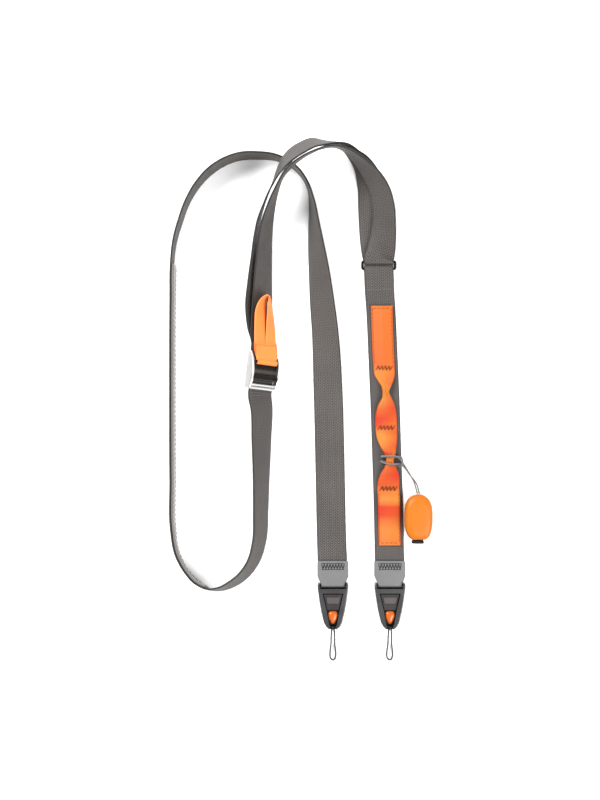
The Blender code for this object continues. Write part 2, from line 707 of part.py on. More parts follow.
ribbon_mesh = mesh_of("daisy_ribbon", ribbon_points, tube_faces(len(fine), ring_sides))
add("daisy_ribbon", ribbon_mesh, ribbon_orange)

# The end connectors. Columns of each outline: distance down from the housing's top as a share of its
# length, and half width as a share of its half width.
HOUSING_OUTLINE = (
    (0.0, 0.965),
    (0.02, 1.0),
    (0.11, 1.0),
    (0.39, 0.885),
    (0.61, 0.770),
    (0.85, 0.596),
    (0.945, 0.44),
    (0.995, 0.25),
    (1.0, 0.18),
)
RECESS_OUTLINE = ((0.218, 0.69), (0.62, 0.40), (0.91, 0.25))
LATCH_OUTLINE = ((0.238, 0.630), (0.585, 0.385))
PANEL_OUTLINE = ((0.300, 0.440), (0.420, 0.400), (0.445, 0.300))
ANCHOR_OUTLINE = (
    (0.603, 0.10),
    (0.612, 0.20),
    (0.635, 0.280),
    (0.670, 0.315),
    (0.720, 0.310),
    (0.770, 0.260),
    (0.830, 0.165),
    (0.880, 0.06),
)
# The cord loop's half route from the sleeve. Columns: x, y and z in millimetres from the housing's top.
LOOP_ROUTE = (
    (-0.9, -32.2, 4.3),
    (-1.2, -36.5, 3.6),
    (-1.3, -42.0, 2.4),
    (-1.9, -47.5, 1.2),
    (-1.9, -50.5, 0.8),
    (-1.1, -52.6, 0.75),
    (0.0, -53.1, 0.75),
)
BAND_END_Y = LEFT_BAND[0][1] * WEBBING_WIDTH
HOUSING_TOP_Y = BAND_END_Y - 0.0057
TAB_TOP_Y = BAND_END_Y + 0.0092
SLOT_BAR = 0.0009
SLOT_BAR_Y = -0.0012
NOTCH = (0.0090, 0.0038)
fold_radius = SLOT_BAR + CLEARANCE + TAB_PLY / 2
bar_z = 0.0001 + TAB_PLY / 2 + fold_radius


def outline_of(rows):
    right = [(half * HOUSING_WIDTH / 2, -down * HOUSING_LENGTH) for down, half in rows]
    return right + [(-x, y) for x, y in reversed(right)]


def connector(side_name, x):
    place = matrix([[1, 0, 0, x], [0, 1, 0, HOUSING_TOP_Y], [0, 0, 1, 0], [0, 0, 0, 1]])
    low, high = 0.0001, 0.0001 + HOUSING_THICKNESS
    outline = outline_of(HOUSING_OUTLINE)
    housing = prism(f"{side_name}_housing", outline, low, high, place, housing_grey, 0.0007)
    floor_z = high - 0.0033
    notch_size = (2 * NOTCH[0], NOTCH[1] + 0.005, 3 * high)
    cuts = [
        box("notch", notch_size, (0, (0.005 - NOTCH[1]) / 2, high / 2), place),
        prism("recess", outline_of(RECESS_OUTLINE), floor_z, high + 0.002, place),
        box("groove", (0.0041, 0.0070, 0.010), (0, 0.0031 - HOUSING_LENGTH - 0.0035, high - 0.0038 + 0.005), place),
    ]
    combine(housing, cuts, "DIFFERENCE")
    bar = rod("slot_bar", 2 * NOTCH[0] + 0.0012, SLOT_BAR, (0, SLOT_BAR_Y, bar_z), place, sides=16)
    combine(housing, [bar], "UNION")
    latch_low = floor_z + CLEARANCE
    outline = outline_of(LATCH_OUTLINE)
    latch = prism(f"{side_name}_latch", outline, latch_low, latch_low + 0.0019, place, latch_grey, 0.0003)
    outline = outline_of(PANEL_OUTLINE)
    raised = prism("panel", outline, latch_low + 0.001, latch_low + 0.0026, place, latch_grey, 0.0003)
    combine(latch, [raised], "UNION")
    outline = outline_of(ANCHOR_OUTLINE)
    prism(f"{side_name}_anchor", outline, latch_low, latch_low + 0.0028, place, anchor_orange, 0.0006)
    sleeve_at = (0, 0.0010 - HOUSING_LENGTH, high - 0.0038 + CLEARANCE + 0.00125)
    box(f"{side_name}_sleeve", (0.0034, 0.0026, 0.0025), sleeve_at, place, black, 0.0005)
    # The tab is one strip from the back, round the housing's bar, to the front. The band's end lies
    # between its plies.
    y0 = TAB_TOP_Y - HOUSING_TOP_Y
    back = [(y, 0.0001 + TAB_PLY / 2) for y in np.linspace(y0, SLOT_BAR_Y + 0.0001, 5)]
    turn_on = np.radians(np.linspace(-90, -270, 11)[1:-1])
    nose = [(SLOT_BAR_Y + fold_radius * math.cos(a), bar_z + fold_radius * math.sin(a)) for a in turn_on]
    top_z = bar_z + fold_radius
    front_rows = [(y, top_z - 0.00007 * k) for k, y in enumerate(np.linspace(SLOT_BAR_Y + 0.0001, y0, 5))]
    rows = np.array(back + nose + front_rows)
    full, narrow = 0.0210 / 2, 0.0162 / 2
    slope = np.clip((rows[:, 0] - SLOT_BAR_Y) / 0.0056, 0, 1)
    width = 2 * (narrow + (full - narrow) * slope)
    centre = np.column_stack([np.full(len(rows), x), HOUSING_TOP_Y + rows[:, 0], rows[:, 1]])
    band(f"{side_name}_end_tab", centre, np.tile([-1.0, 0, 0], (len(rows), 1)), width, TAB_PLY, tab_grey)
    # The cord loop, from the sleeve out of the nose and down to the table.
    route = np.array(LOOP_ROUTE + tuple((-a, b, c) for a, b, c in reversed(LOOP_ROUTE[:-1])))
    cord(f"{side_name}_cord_loop", route * 0.001 + [x, HOUSING_TOP_Y, 0.0], LOOP_CORD, 0.0016)


def cord(name, route, diameter, step):
    places = smooth_through(np.asarray(route, float), step)
    data = bpy.data.curves.new(name, "CURVE")
    data.dimensions = "3D"
    data.bevel_depth = diameter / 2
    data.bevel_resolution = 2
    data.use_fill_caps = True
    line = data.splines.new("POLY")
    line.points.add(len(places) - 1)
    for point, at in zip(line.points, places):
        point.co = (*at, 1.0)
    data.materials.append(cord_grey)
    made = bpy.data.objects.new(name, data)
    strap.objects.link(made)
    return made


connector("left", 1.497 * WEBBING_WIDTH)
connector("right", 3.440 * WEBBING_WIDTH)

# The pod: sections along its length. Columns: distance from the top and half width, as shares.
POD_AT = (0.0880, -0.0889)
POD_ROWS = (
    (0.0, 0.10),
    (0.012, 0.30),
    (0.045, 0.53),
    (0.10, 0.72),
    (0.19, 0.88),
    (0.32, 0.975),
    (0.50, 1.0),
    (0.66, 0.985),
    (0.80, 0.92),
    (0.90, 0.80),
    (0.965, 0.64),
    (0.993, 0.50),
    (1.0, 0.42),
)
pod_turn = np.linspace(0, 2 * math.pi, 24, endpoint=False)
power = 0.80
pod_x = np.sign(np.cos(pod_turn)) * np.abs(np.cos(pod_turn)) ** power
pod_z = np.sign(np.sin(pod_turn)) * np.abs(np.sin(pod_turn)) ** power
pod_points = []
for down, half in POD_ROWS:
    for px, pz in zip(pod_x, pod_z):
        pod_points.append(
            (
                POD_AT[0] + half * POD_WIDTH / 2 * px,
                POD_AT[1] + POD_LENGTH / 2 - down * POD_LENGTH,
                0.0001 + POD_THICKNESS / 2 + half**0.8 * POD_THICKNESS / 2 * pz,
            )
        )
add("pod_shell", mesh_of("pod_shell", pod_points, tube_faces(len(POD_ROWS), 24)), pod_orange, smooth=True)
box(
    "pod_cap",
    (0.0084, 0.0024, 0.0044),
    (POD_AT[0] - 0.0006, POD_AT[1] - POD_LENGTH / 2 - CLEARANCE - 0.0012, 0.0001 + POD_THICKNESS / 2),
    None,
    black,
    0.0008,
)

# The pod's cord, looped round the ribbon's second waist. Columns: x, y, z in millimetres from the waist.
WAIST = (0.0684, -0.0505)
POD_CORD = (
    (18.9, -22.65, 6.0),
    (16.9, -15.3, 4.6),
    (12.6, -7.2, 2.8),
    (8.7, -1.1, 2.7),
    (6.2, 1.9, 4.2),
    (3.0, 3.1, 6.9),
    (0.0, 3.2, 7.9),
    (-3.0, 3.0, 7.0),
    (-5.6, 2.7, 4.6),
    (-4.4, 2.0, 2.4),
    (0.0, 1.6, 2.2),
    (5.0, 2.2, 2.2),
    (7.6, 2.4, 2.9),
    (8.9, 0.6, 4.9),
    (8.9, -2.2, 5.2),
    (8.0, -4.3, 3.7),
    (5.6, -3.7, 2.2),
    (0.0, -1.2, 2.2),
    (-4.4, -0.8, 2.4),
    (-5.8, -0.6, 4.4),
    (-3.2, -1.7, 6.7),
    (0.0, -2.3, 7.9),
    (3.6, -2.5, 6.4),
    (6.8, -2.6, 3.4),
    (9.6, -3.9, 2.2),
    (13.6, -9.4, 2.7),
    (18.4, -15.9, 4.6),
    (20.3, -22.65, 6.0),
)
cord("pod_cord", np.array(POD_CORD) * 0.001 + [WAIST[0], WAIST[1], 0.0], 0.0011, 0.0017)

# The lever and the pull tab on it turn about the pin, so their origins are on its axis.
pin_at = in_buckle(*pin_place)
for piece in (cam, panel):
    piece.data.transform(Matrix.Translation([-float(x) for x in pin_at]))
cam.location = pin_at
panel.parent = cam

# Round surfaces are shaded smooth, and edges sharper than this stay sharp.
SHARP = math.radians(38.0)
for obj in strap.objects:
    if obj.type == "MESH":
        apply_all(obj)
        obj.data.shade_smooth()
        obj.data.set_sharp_from_angle(angle=SHARP)
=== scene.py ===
import math

import bpy
import numpy as np
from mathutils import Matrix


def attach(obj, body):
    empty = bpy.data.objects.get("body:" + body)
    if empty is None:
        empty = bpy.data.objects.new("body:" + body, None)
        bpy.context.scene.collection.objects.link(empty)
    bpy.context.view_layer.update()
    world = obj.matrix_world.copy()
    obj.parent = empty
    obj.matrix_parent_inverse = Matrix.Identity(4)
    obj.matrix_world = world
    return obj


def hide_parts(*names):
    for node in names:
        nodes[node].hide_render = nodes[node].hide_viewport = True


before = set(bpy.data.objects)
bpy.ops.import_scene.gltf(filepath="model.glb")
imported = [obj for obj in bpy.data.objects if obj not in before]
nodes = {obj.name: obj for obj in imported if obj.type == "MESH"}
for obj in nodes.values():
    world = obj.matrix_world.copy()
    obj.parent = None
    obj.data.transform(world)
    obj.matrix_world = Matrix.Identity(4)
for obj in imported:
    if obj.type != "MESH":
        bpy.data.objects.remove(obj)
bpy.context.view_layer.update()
print("stage: frame loaded")

# The camera looks straight down from 0.8 m. The photo's frame is 600 by 800 and 0.548 m high at the table.
shot = {"at": (0.0075, -0.0094, 0.800), "frameHeight": 0.548}
cameraData = bpy.data.cameras.new("camera")
cameraData.sensor_fit = "VERTICAL"
cameraData.sensor_height = 32.0
cameraData.lens = 32.0 * shot["at"][2] / shot["frameHeight"]
cameraData.clip_start = 0.01
camera = bpy.data.objects.new("camera", cameraData)
camera.location = shot["at"]
bpy.context.scene.collection.objects.link(camera)
bpy.context.scene.camera = camera

up = np.array([0.0, 0.0, 1.0])
webWidth = 0.020
webThick = 0.0012
gap = 0.0003


# Vectors divided by their lengths, along the last axis.
def unit(v):
    v = np.asarray(v, float)
    return v / np.maximum(np.linalg.norm(v, axis=-1, keepdims=True), 1e-12)


# A Catmull-Rom curve through the rows, at points a step apart:
# P(s) = (2s^3-3s^2+1) P0 + (s^3-2s^2+s) h M0 + (3s^2-2s^3) P1 + (s^3-s^2) h M1, slopes M from the neighbours.
def smoothThrough(rows, step):
    rows = np.asarray(rows, float)
    length = np.linalg.norm(np.diff(rows[:, :3], axis=0), axis=1)
    at = np.concatenate([[0.0], np.cumsum(length)])
    slope = np.gradient(rows, at, axis=0)
    t = np.linspace(0.0, at[-1], max(2, int(round(at[-1] / step)) + 1))
    k = np.clip(np.searchsorted(at, t, side="right") - 1, 0, len(length) - 1)
    h = length[k][:, None]
    s = ((t - at[k]) / length[k])[:, None]
    return (
        (2 * s**3 - 3 * s**2 + 1) * rows[k]
        + (s**3 - 2 * s**2 + s) * h * slope[k]
        + (3 * s**2 - 2 * s**3) * rows[k + 1]
        + (s**3 - s**2) * h * slope[k + 1]
    )


# Centres and width directions of stations x, y, z, roll: across = cos(roll) left + sin(roll) up, square to the route.
def withEdges(stations):
    centre = stations[:, :3]
    along = unit(np.gradient(centre, axis=0))
    left = unit(np.column_stack([-along[:, 1], along[:, 0], np.zeros(len(along))]))
    roll = stations[:, 3:4]
    across = np.cos(roll) * left + np.sin(roll) * up
    return centre, unit(across - (across * along).sum(1, keepdims=True) * along)


# The centres raised until the lowest corner, |across_z| width/2 + |face_z| thickness/2 below, is over the table.
def onTable(centre, across, width, thickness):
    face = np.cross(unit(np.gradient(centre, axis=0)), across)
    low = centre[:, 2] - np.abs(across[:, 2]) * width / 2 - np.abs(face[:, 2]) * thickness / 2
    return centre + np.outer(np.maximum(0.0001 - low, 0.0), up)


# Route rows in webbing widths to metres. The centre is |sin roll| width/2 + |cos roll| thickness/2 over the lift.
def routePoints(table):
    rows = np.array(table, float)
    roll = np.radians(rows[:, 3])
    points = rows[:, :3] * webWidth
    points[:, 2] += np.abs(np.sin(roll)) * webWidth / 2 + np.abs(np.cos(roll)) * webThick / 2
    return np.column_stack([points, roll])


# Quads of a grid of rows by columns, closed across the columns where wrap is true.
def gridFaces(rows, columns, wrap):
    i, j = np.meshgrid(np.arange(rows - 1), np.arange(columns if wrap else columns - 1), indexing="ij")
    nextColumn = (j + 1) % columns
    return np.stack(
        [i * columns + j, i * columns + nextColumn, (i + 1) * columns + nextColumn, (i + 1) * columns + j], -1
    ).reshape(-1, 4)


# A smooth mesh object from points and faces, with per-point map coordinates in millimetres.
def surface(name, points, faces, look, body="strap", mapMm=None, replaces=()):
    mesh = bpy.data.meshes.new(name)
    mesh.from_pydata(np.asarray(points, float).tolist(), [], [list(map(int, f)) for f in faces])
    mesh.update()
    mesh.shade_smooth()
    mesh.set_sharp_from_angle(angle=math.radians(50.0))
    if mapMm is not None:
        layer = mesh.uv_layers.new(name="mm")
        index = np.empty(len(mesh.loops), np.int32)
        mesh.loops.foreach_get("vertex_index", index)
        layer.data.foreach_set("uv", np.asarray(mapMm, np.float32)[index].reshape(-1))
    mesh.materials.append(look)
    made = bpy.data.objects.new(name, mesh)
    bpy.context.scene.collection.objects.link(made)
    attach(made, body)
    if replaces:
        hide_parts(*replaces)
    return made


# A closed band: P = centre + across a + face b, where (a, b) runs round a strip with half-round edges.
def bandMesh(centre, across, width, thickness, flat=9, edge=3):
    rows = len(centre)
    along = unit(np.gradient(centre, axis=0))
    face = unit(np.cross(along, across))
    radius = thickness / 2
    half = np.broadcast_to(np.asarray(width, float) / 2, (rows,)) - radius
    share = np.linspace(-1, 1, flat)
    bend = np.linspace(0, math.pi, edge + 2)[1:-1]
    a = np.concatenate([share, np.ones(edge), -share, -np.ones(edge)])
    roundA = np.concatenate([np.zeros(flat), radius * np.sin(bend), np.zeros(flat), -radius * np.sin(bend)])
    b = np.concatenate([np.full(flat, radius), radius * np.cos(bend), np.full(flat, -radius), -radius * np.cos(bend)])
    sideways = half[:, None] * a + roundA
    points = centre[:, None] + across[:, None] * sideways[..., None] + face[:, None] * b[None, :, None]
    columns = len(a)
    s = np.concatenate([[0.0], np.cumsum(np.linalg.norm(np.diff(centre, axis=0), axis=1))])
    mapMm = np.stack([sideways, np.broadcast_to(s[:, None], sideways.shape)], -1).reshape(-1, 2) * 1000
    faces = gridFaces(rows, columns, True)[:, ::-1].tolist()
    faces.append(list(range(columns)))
    faces.append(list(range((rows - 1) * columns, rows * columns))[::-1])
    return points.reshape(-1, 3), faces, mapMm, {"centre": centre, "across": across, "face": face, "s": s}


# A point on a band's face: centre(s) + across a + face n, found by arc length.
def onBand(lay, s, a, n):
    s = np.atleast_1d(s)
    keys = ("centre", "across", "face")
    centre, across, face = (np.stack([np.interp(s, lay["s"], lay[key][:, i]) for i in range(3)], -1) for key in keys)
    return centre + unit(across) * np.reshape(a, (-1, 1)) + unit(face) * np.reshape(n, (-1, 1))


# A round tube along points: P = C + r (cos q N + sin q B), with N carried along the route.
def tubeMesh(path, radius, sides=10):
    path = np.asarray(path, float)
    along = unit(np.gradient(path, axis=0))
    normal = np.zeros_like(path)
    normal[0] = unit(np.cross(along[0], [0.3, 0.2, 1.0]))
    for i in range(1, len(path)):
        carried = normal[i - 1] - along[i] * (normal[i - 1] @ along[i])
        normal[i] = unit(carried)
    q = np.linspace(0, 2 * math.pi, sides, endpoint=False)
    size = np.broadcast_to(np.asarray(radius, float), (len(path),))[:, None, None]
    ring = np.cos(q)[:, None] * normal[:, None] + np.sin(q)[:, None] * np.cross(along, normal)[:, None]
    points = (path[:, None] + size * ring).reshape(-1, 3)
    s = np.concatenate([[0.0], np.cumsum(np.linalg.norm(np.diff(path, axis=0), axis=1))])
    mapMm = np.stack(np.broadcast_arrays(q[None] * np.max(radius), s[:, None]), -1).reshape(-1, 2) * 1000
    faces = gridFaces(len(path), sides, True).tolist()
    faces.append(list(range(sides))[::-1])
    faces.append(list(range((len(path) - 1) * sides, len(path) * sides)))
    return points, faces, mapMm


# Stitches: a spindle from each start to its end, P = A + t (B-A) + n h sin(pi t) + r (0.45 + 0.55 sin(pi t)) ring(q).
def stitchMesh(starts, ends, normals, radius, rise):
    starts, ends, normals = (np.asarray(x, float) for x in (starts, ends, normals))
    count, rings, sides = len(starts), 6, 6
    t = np.linspace(0, 1, rings)
    along = unit(ends - starts)
    sideways = unit(np.cross(along, normals))
    lift = np.cross(sideways, along)
    q = np.linspace(0, 2 * math.pi, sides, endpoint=False)
    middle = starts[:, None] + t[None, :, None] * (ends - starts)[:, None]
    middle = middle + normals[:, None] * (rise * np.sin(math.pi * t))[None, :, None]
    size = (radius * (0.45 + 0.55 * np.sin(math.pi * t)))[None, :, None, None]
    ring = np.cos(q)[:, None] * sideways[:, None, None] + np.sin(q)[:, None] * lift[:, None, None]
    points = (middle[:, :, None] + size * ring).reshape(-1, 3)
    one = gridFaces(rings, sides, True).tolist()
    one += [list(range(sides))[::-1], list(range((rings - 1) * sides, rings * sides))]
    faces = [[v + k * rings * sides for v in f] for k in range(count) for f in one]
    return points, faces


# A node of this kind with its settings, and inputs that are numbers, colours or other nodes' outputs.
def put(tree, kind, inputs=None, **settings):
    made = tree.nodes.new(kind)
    for key, value in settings.items():
        setattr(made, key, value)
    for key, value in (inputs or {}).items():
        if isinstance(value, bpy.types.NodeSocket):
            tree.links.new(value, made.inputs[key])
        else:
            made.inputs[key].default_value = value
    return made


# One arithmetic step on values.
def calc(tree, operation, a, b=0.0):
    return put(tree, "ShaderNodeMath", {0: a, 1: b}, operation=operation).outputs[0]


# The colour a + share (b - a).
def blendColor(tree, share, a, b):
    return put(tree, "ShaderNodeMix", {0: share, 6: a, 7: b}, data_type="RGBA").outputs[2]


# Fractal noise at a place, 0 to 1.
def noise(tree, where, scale, detail=3.0):
    return put(tree, "ShaderNodeTexNoise", {"Vector": where, "Scale": scale, "Detail": detail}).outputs[0]


# A value from low to high, moved to toLow to toHigh and held there.
def remap(tree, value, low, high, toLow=0.0, toHigh=1.0):
    made = put(tree, "ShaderNodeMapRange", {0: value, 1: low, 2: high, 3: toLow, 4: toHigh})
    return made.outputs[0]


# An sRGB colour of 0 to 255, as it looks in the studio, as linear values: c / light, where white takes light.
studioLight = 2.4


def rgb(r, g, b):
    c = np.array([r, g, b], float) / 255
    c = np.where(c <= 0.04045, c / 12.92, ((c + 0.055) / 1.055) ** 2.4) / studioLight
    return (*map(float, c), 1.0)


# A material, its tree and its Principled node.
def newLook(name, rough, metal=0.0, sheen=0.0, coat=0.0):
    look = bpy.data.materials.new(name)
    look.use_nodes = True
    tree = look.node_tree
    shader = tree.nodes["Principled BSDF"]
    shader.inputs["Roughness"].default_value = rough
    shader.inputs["Specular IOR Level"].default_value = 0.25
    shader.inputs["Metallic"].default_value = metal
    shader.inputs["Sheen Weight"].default_value = sheen
    shader.inputs["Coat Weight"].default_value = coat
    return look, tree, shader


# The colour, the roughness and the bump from a height, joined to the shader.
def finishLook(tree, shader, color, height=None, strength=0.4, depth=0.0002, rough=None):
    tree.links.new(color, shader.inputs["Base Color"])
    if rough is not None:
        tree.links.new(rough, shader.inputs["Roughness"])
    if height is not None:
        bump = put(tree, "ShaderNodeBump", {"Strength": strength, "Distance": depth, "Height": height})
        tree.links.new(bump.outputs[0], shader.inputs["Normal"])


# Painted light and shade on the twisted satin ribbon: where the painted-light attribute falls from 1 to 0, the colour
# goes over to a painted shade colour.
def paintSatinLight(look, paintedShade, share):
    tree = look.node_tree
    shader = tree.nodes["Principled BSDF"]
    before = shader.inputs["Base Color"].links[0].from_socket
    satinLight = put(tree, "ShaderNodeAttribute", attribute_name="satinLight").outputs["Fac"]
    dark = calc(tree, "MULTIPLY", calc(tree, "SUBTRACT", 1.0, satinLight), share)
    tree.links.new(blendColor(tree, dark, before, paintedShade), shader.inputs["Base Color"])


# Woven cloth: yarns slant to and fro in stripes, v + |u mod stripe - stripe/2|, over fine ribs, with darker edges.
def wovenLook(name, dark, light, edgeDark, half, stripe, yarn, rib, rough, sheen, patch):
    look, tree, shader = newLook(name, rough, sheen=sheen)
    place = put(tree, "ShaderNodeTexCoord")
    flat = put(tree, "ShaderNodeSeparateXYZ", {0: put(tree, "ShaderNodeUVMap", uv_map="mm").outputs[0]})
    u, v = flat.outputs[0], flat.outputs[1]
    zig = calc(tree, "ABSOLUTE", calc(tree, "SUBTRACT", calc(tree, "FLOORED_MODULO", u, stripe), stripe / 2))
    slant = calc(tree, "SINE", calc(tree, "MULTIPLY", calc(tree, "ADD", v, zig), 2 * math.pi / yarn))
    ribs = calc(tree, "SINE", calc(tree, "MULTIPLY", u, 2 * math.pi / rib))
    weave = remap(tree, calc(tree, "ADD", slant, calc(tree, "MULTIPLY", ribs, 0.6)), -1.6, 1.6)
    fuzz = noise(tree, place.outputs["Object"], 900.0, 2.0)
    cloud = noise(tree, place.outputs["Object"], 38.0, 2.0)
    share = calc(tree, "ADD", calc(tree, "MULTIPLY", weave, 0.75), calc(tree, "MULTIPLY", fuzz, 0.25))
    share = calc(tree, "ADD", share, calc(tree, "MULTIPLY", calc(tree, "SUBTRACT", cloud, 0.5), patch))
    color = blendColor(tree, share, dark, light)
    edge = remap(tree, calc(tree, "ABSOLUTE", u), half - 0.9, half - 0.2)
    color = blendColor(tree, calc(tree, "MULTIPLY", edge, 0.75), color, edgeDark)
    height = calc(tree, "ADD", weave, calc(tree, "MULTIPLY", fuzz, 0.5))
    finishLook(tree, shader, color, height, 0.55, 0.00025)
    return look


# Moulded plastic: a fine grain and paler worn patches from the noise at two scales. Where two heights are given, the
# colour goes over to a painted shade colour from the higher to the lower: painted shade in the recesses.
def mouldedLook(name, color, worn, rough, coat=0.0, grain=2600.0, depth=0.00004, shadeHeights=None, paintedShade=None):
    look, tree, shader = newLook(name, rough, coat=coat)
    place = put(tree, "ShaderNodeTexCoord").outputs["Object"]
    fine = noise(tree, place, grain, 2.0)
    slow = noise(tree, place, 90.0, 4.0)
    wear = remap(tree, slow, 0.42, 0.75)
    mixed = blendColor(tree, calc(tree, "MULTIPLY", wear, 0.35), color, worn)
    # Painted shade: the lower a face lies in the object, the nearer it is to the painted shade colour.
    if shadeHeights:
        height = put(tree, "ShaderNodeSeparateXYZ", {0: place}).outputs[2]
        mixed = blendColor(tree, remap(tree, height, shadeHeights[0], shadeHeights[1]), paintedShade, mixed)
    roughness = remap(tree, slow, 0.3, 0.7, rough - 0.06, rough + 0.08)
    finishLook(tree, shader, mixed, fine, 0.35, depth, roughness)
    return look


# Metal: brush lines stretched along X of the object, with faint blotches in the roughness.
def metalLook(name, color, worn, rough, stretch=(60.0, 1500.0, 1500.0), coat=0.0, metal=1.0, depth=0.00001):
    look, tree, shader = newLook(name, rough, metal=metal, coat=coat)
    place = put(tree, "ShaderNodeTexCoord").outputs["Object"]
    scaled = put(tree, "ShaderNodeMapping", {"Vector": place, "Scale": stretch}).outputs[0]
    lines = noise(tree, scaled, 1.0, 3.0)
    slow = noise(tree, place, 120.0, 3.0)
    mixed = blendColor(tree, remap(tree, slow, 0.35, 0.7), color, worn)
    roughness = remap(tree, lines, 0.3, 0.7, max(0.03, rough - 0.07), rough + 0.1)
    finishLook(tree, shader, mixed, lines, 0.3, depth, roughness)
    return look


# Woven looks. Columns: dark, light and edge colour, half width, stripe, yarn and rib in mm, roughness, sheen, patches.
weaves = {
    "webbing_weave": (
        rgb(18, 16, 15), rgb(134, 127, 122), rgb(18, 16, 16), 10.0, 5.0, 1.8, 1.3, 0.6, 0.06, 0.25,
    ),
    "pad_weave": (
        rgb(196, 190, 188), rgb(250, 244, 243), rgb(110, 106, 104), 9.9, 3.3, 1.0, 0.8, 0.8, 0.1, 0.25,
    ),
    "ribbon_weave": (
        rgb(250, 124, 16), rgb(255, 178, 76), rgb(214, 66, 8), 7.6, 40.0, 0.9, 0.5, 0.55, 0.0, 0.12,
    ),
    "pull_weave": (
        (0.74, 0.17, 0.026, 1.0), (0.86, 0.28, 0.068, 1.0), (0.60, 0.08, 0.008, 1.0),
        9.6, 40.0, 0.9, 0.5, 0.6, 0.0, 0.12,
    ),
    "cord_braid": (
        rgb(50, 48, 48), rgb(116, 114, 114), rgb(70, 68, 68), 90.0, 0.9, 0.8, 0.45, 0.7, 0.2, 0.25,
    ),
    "pod_cord_braid": (
        rgb(110, 106, 104), rgb(176, 172, 170), rgb(110, 106, 104), 90.0, 0.8, 0.7, 0.4, 0.6, 0.2, 0.25,
    ),
}
webLook, padLook, ribbonLook, pullLook, cordLook, podCordLook = (wovenLook(name, *row) for name, row in weaves.items())
# The ribbon's painted shade colour, a deep red-orange, where its painted light is low.
paintSatinLight(ribbonLook, rgb(244, 56, 0), 0.95)
threadLook = mouldedLook("grey_thread", rgb(150, 144, 140), rgb(176, 170, 166), 0.7, grain=4000.0)
padThreadLook = mouldedLook("pad_thread", rgb(190, 184, 183), rgb(214, 208, 207), 0.75, grain=4000.0)
darkThreadLook = mouldedLook("dark_thread", rgb(26, 20, 22), rgb(56, 46, 46), 0.7, grain=4000.0)
orangeThreadLook = mouldedLook("orange_thread", rgb(206, 76, 20), rgb(236, 110, 40), 0.6, grain=4000.0)
brownThreadLook = mouldedLook("brown_thread", rgb(150, 40, 14), rgb(186, 66, 26), 0.65, grain=4000.0)
tabLook = mouldedLook("tab_grain", rgb(140, 140, 141), rgb(166, 166, 167), 0.6, grain=1400.0, depth=0.00012)
podLook = mouldedLook("pod_soft", rgb(250, 136, 20), rgb(255, 150, 40), 0.45, grain=3000.0, depth=0.00002)
anchorLook = mouldedLook("anchor_gloss", rgb(246, 118, 36), rgb(255, 152, 76), 0.3, 0.2)
# The housing's and the latch's recesses get painted shade, near black in the housing.
housingLook = mouldedLook(
    "housing_plastic", rgb(72, 72, 74), rgb(102, 102, 104), 0.3, 0.1, shadeHeights=(0.0050, 0.00635), paintedShade=rgb(2, 2, 2)
)
latchLook = mouldedLook(
    "latch_plastic", rgb(98, 90, 91), rgb(122, 114, 114), 0.38, shadeHeights=(0.0050, 0.0061), paintedShade=rgb(22, 12, 13)
)
blackPlasticLook = mouldedLook("black_plastic", rgb(12, 10, 10), rgb(24, 20, 19), 0.4)
steelLook = metalLook("bright_steel", (0.80, 0.79, 0.78, 1.0), (0.86, 0.85, 0.84, 1.0), 0.34, depth=0.000004)
blackMetalLook = metalLook("black_metal", rgb(14, 11, 10), rgb(26, 20, 17), 0.3, metal=0.0, depth=0.000004)
print("stage: materials made")

# The pod's cord, looped round the ribbon's second waist. Columns: x, y, z in millimetres from the waist.
podCord = {
    "waist": (0.0684, -0.0505),
    "diameter": 0.0011,
    "rows": (
        (18.9, -22.65, 6.0), (16.9, -15.3, 4.6), (12.6, -7.2, 2.8), (8.7, -1.1, 2.7), (6.2, 1.9, 4.2), (3.0, 3.1, 6.9),
        (0.0, 3.2, 7.9), (-3.0, 3.0, 7.0), (-5.6, 2.7, 4.6), (-4.4, 2.0, 2.4), (0.0, 1.6, 2.2), (5.0, 2.2, 2.2),
        (7.6, 2.4, 2.9), (8.9, 0.6, 4.9), (8.9, -2.2, 5.2), (8.0, -4.3, 3.7), (5.6, -3.7, 2.2), (0.0, -1.2, 2.2),
        (-4.4, -0.8, 2.4), (-5.8, -0.6, 4.4), (-3.2, -1.7, 6.7), (0.0, -2.3, 7.9), (3.6, -2.5, 6.4), (6.8, -2.6, 3.4),
        (9.6, -3.9, 2.2), (13.6, -9.4, 2.7), (18.4, -15.9, 4.6), (20.3, -22.65, 6.0),
    ),
}


podPath = smoothThrough(np.array(podCord["rows"]) * 0.001 + [*podCord["waist"], 0.0], 0.0006)
points, faces, mapMm = tubeMesh(podPath, podCord["diameter"] / 2)
podCordPiece = surface("pod_cord_braided", points, faces, podCordLook, mapMm=mapMm, replaces=["pod_cord"])

# The connectors' cord loops. Columns: x, y and z in millimetres from the housing's top.
connector = {
    "x": {"left": 1.497 * webWidth, "right": 3.440 * webWidth},
    "topY": -0.1341,
    "loopDiameter": 0.0012,
    "loop": (
        (-0.9, -32.2, 4.3), (-1.2, -36.5, 3.6), (-1.3, -42.0, 2.4), (-1.9, -47.5, 1.2), (-1.9, -50.5, 0.8),
        (-1.1, -52.6, 0.75), (0.0, -53.1, 0.75),
    ),
}
for side, x in connector["x"].items():
    rows = np.array(connector["loop"] + tuple((-a, b, c) for a, b, c in reversed(connector["loop"][:-1])))
    path = smoothThrough(rows * 0.001 + [x, connector["topY"], 0.0], 0.0006)
    points, faces, mapMm = tubeMesh(path, connector["loopDiameter"] / 2)
    name = side + "_cord_loop_braided"
    loopPiece = surface(name, points, faces, cordLook, mapMm=mapMm, replaces=[side + "_cord_loop"])
print("stage: cords laid")

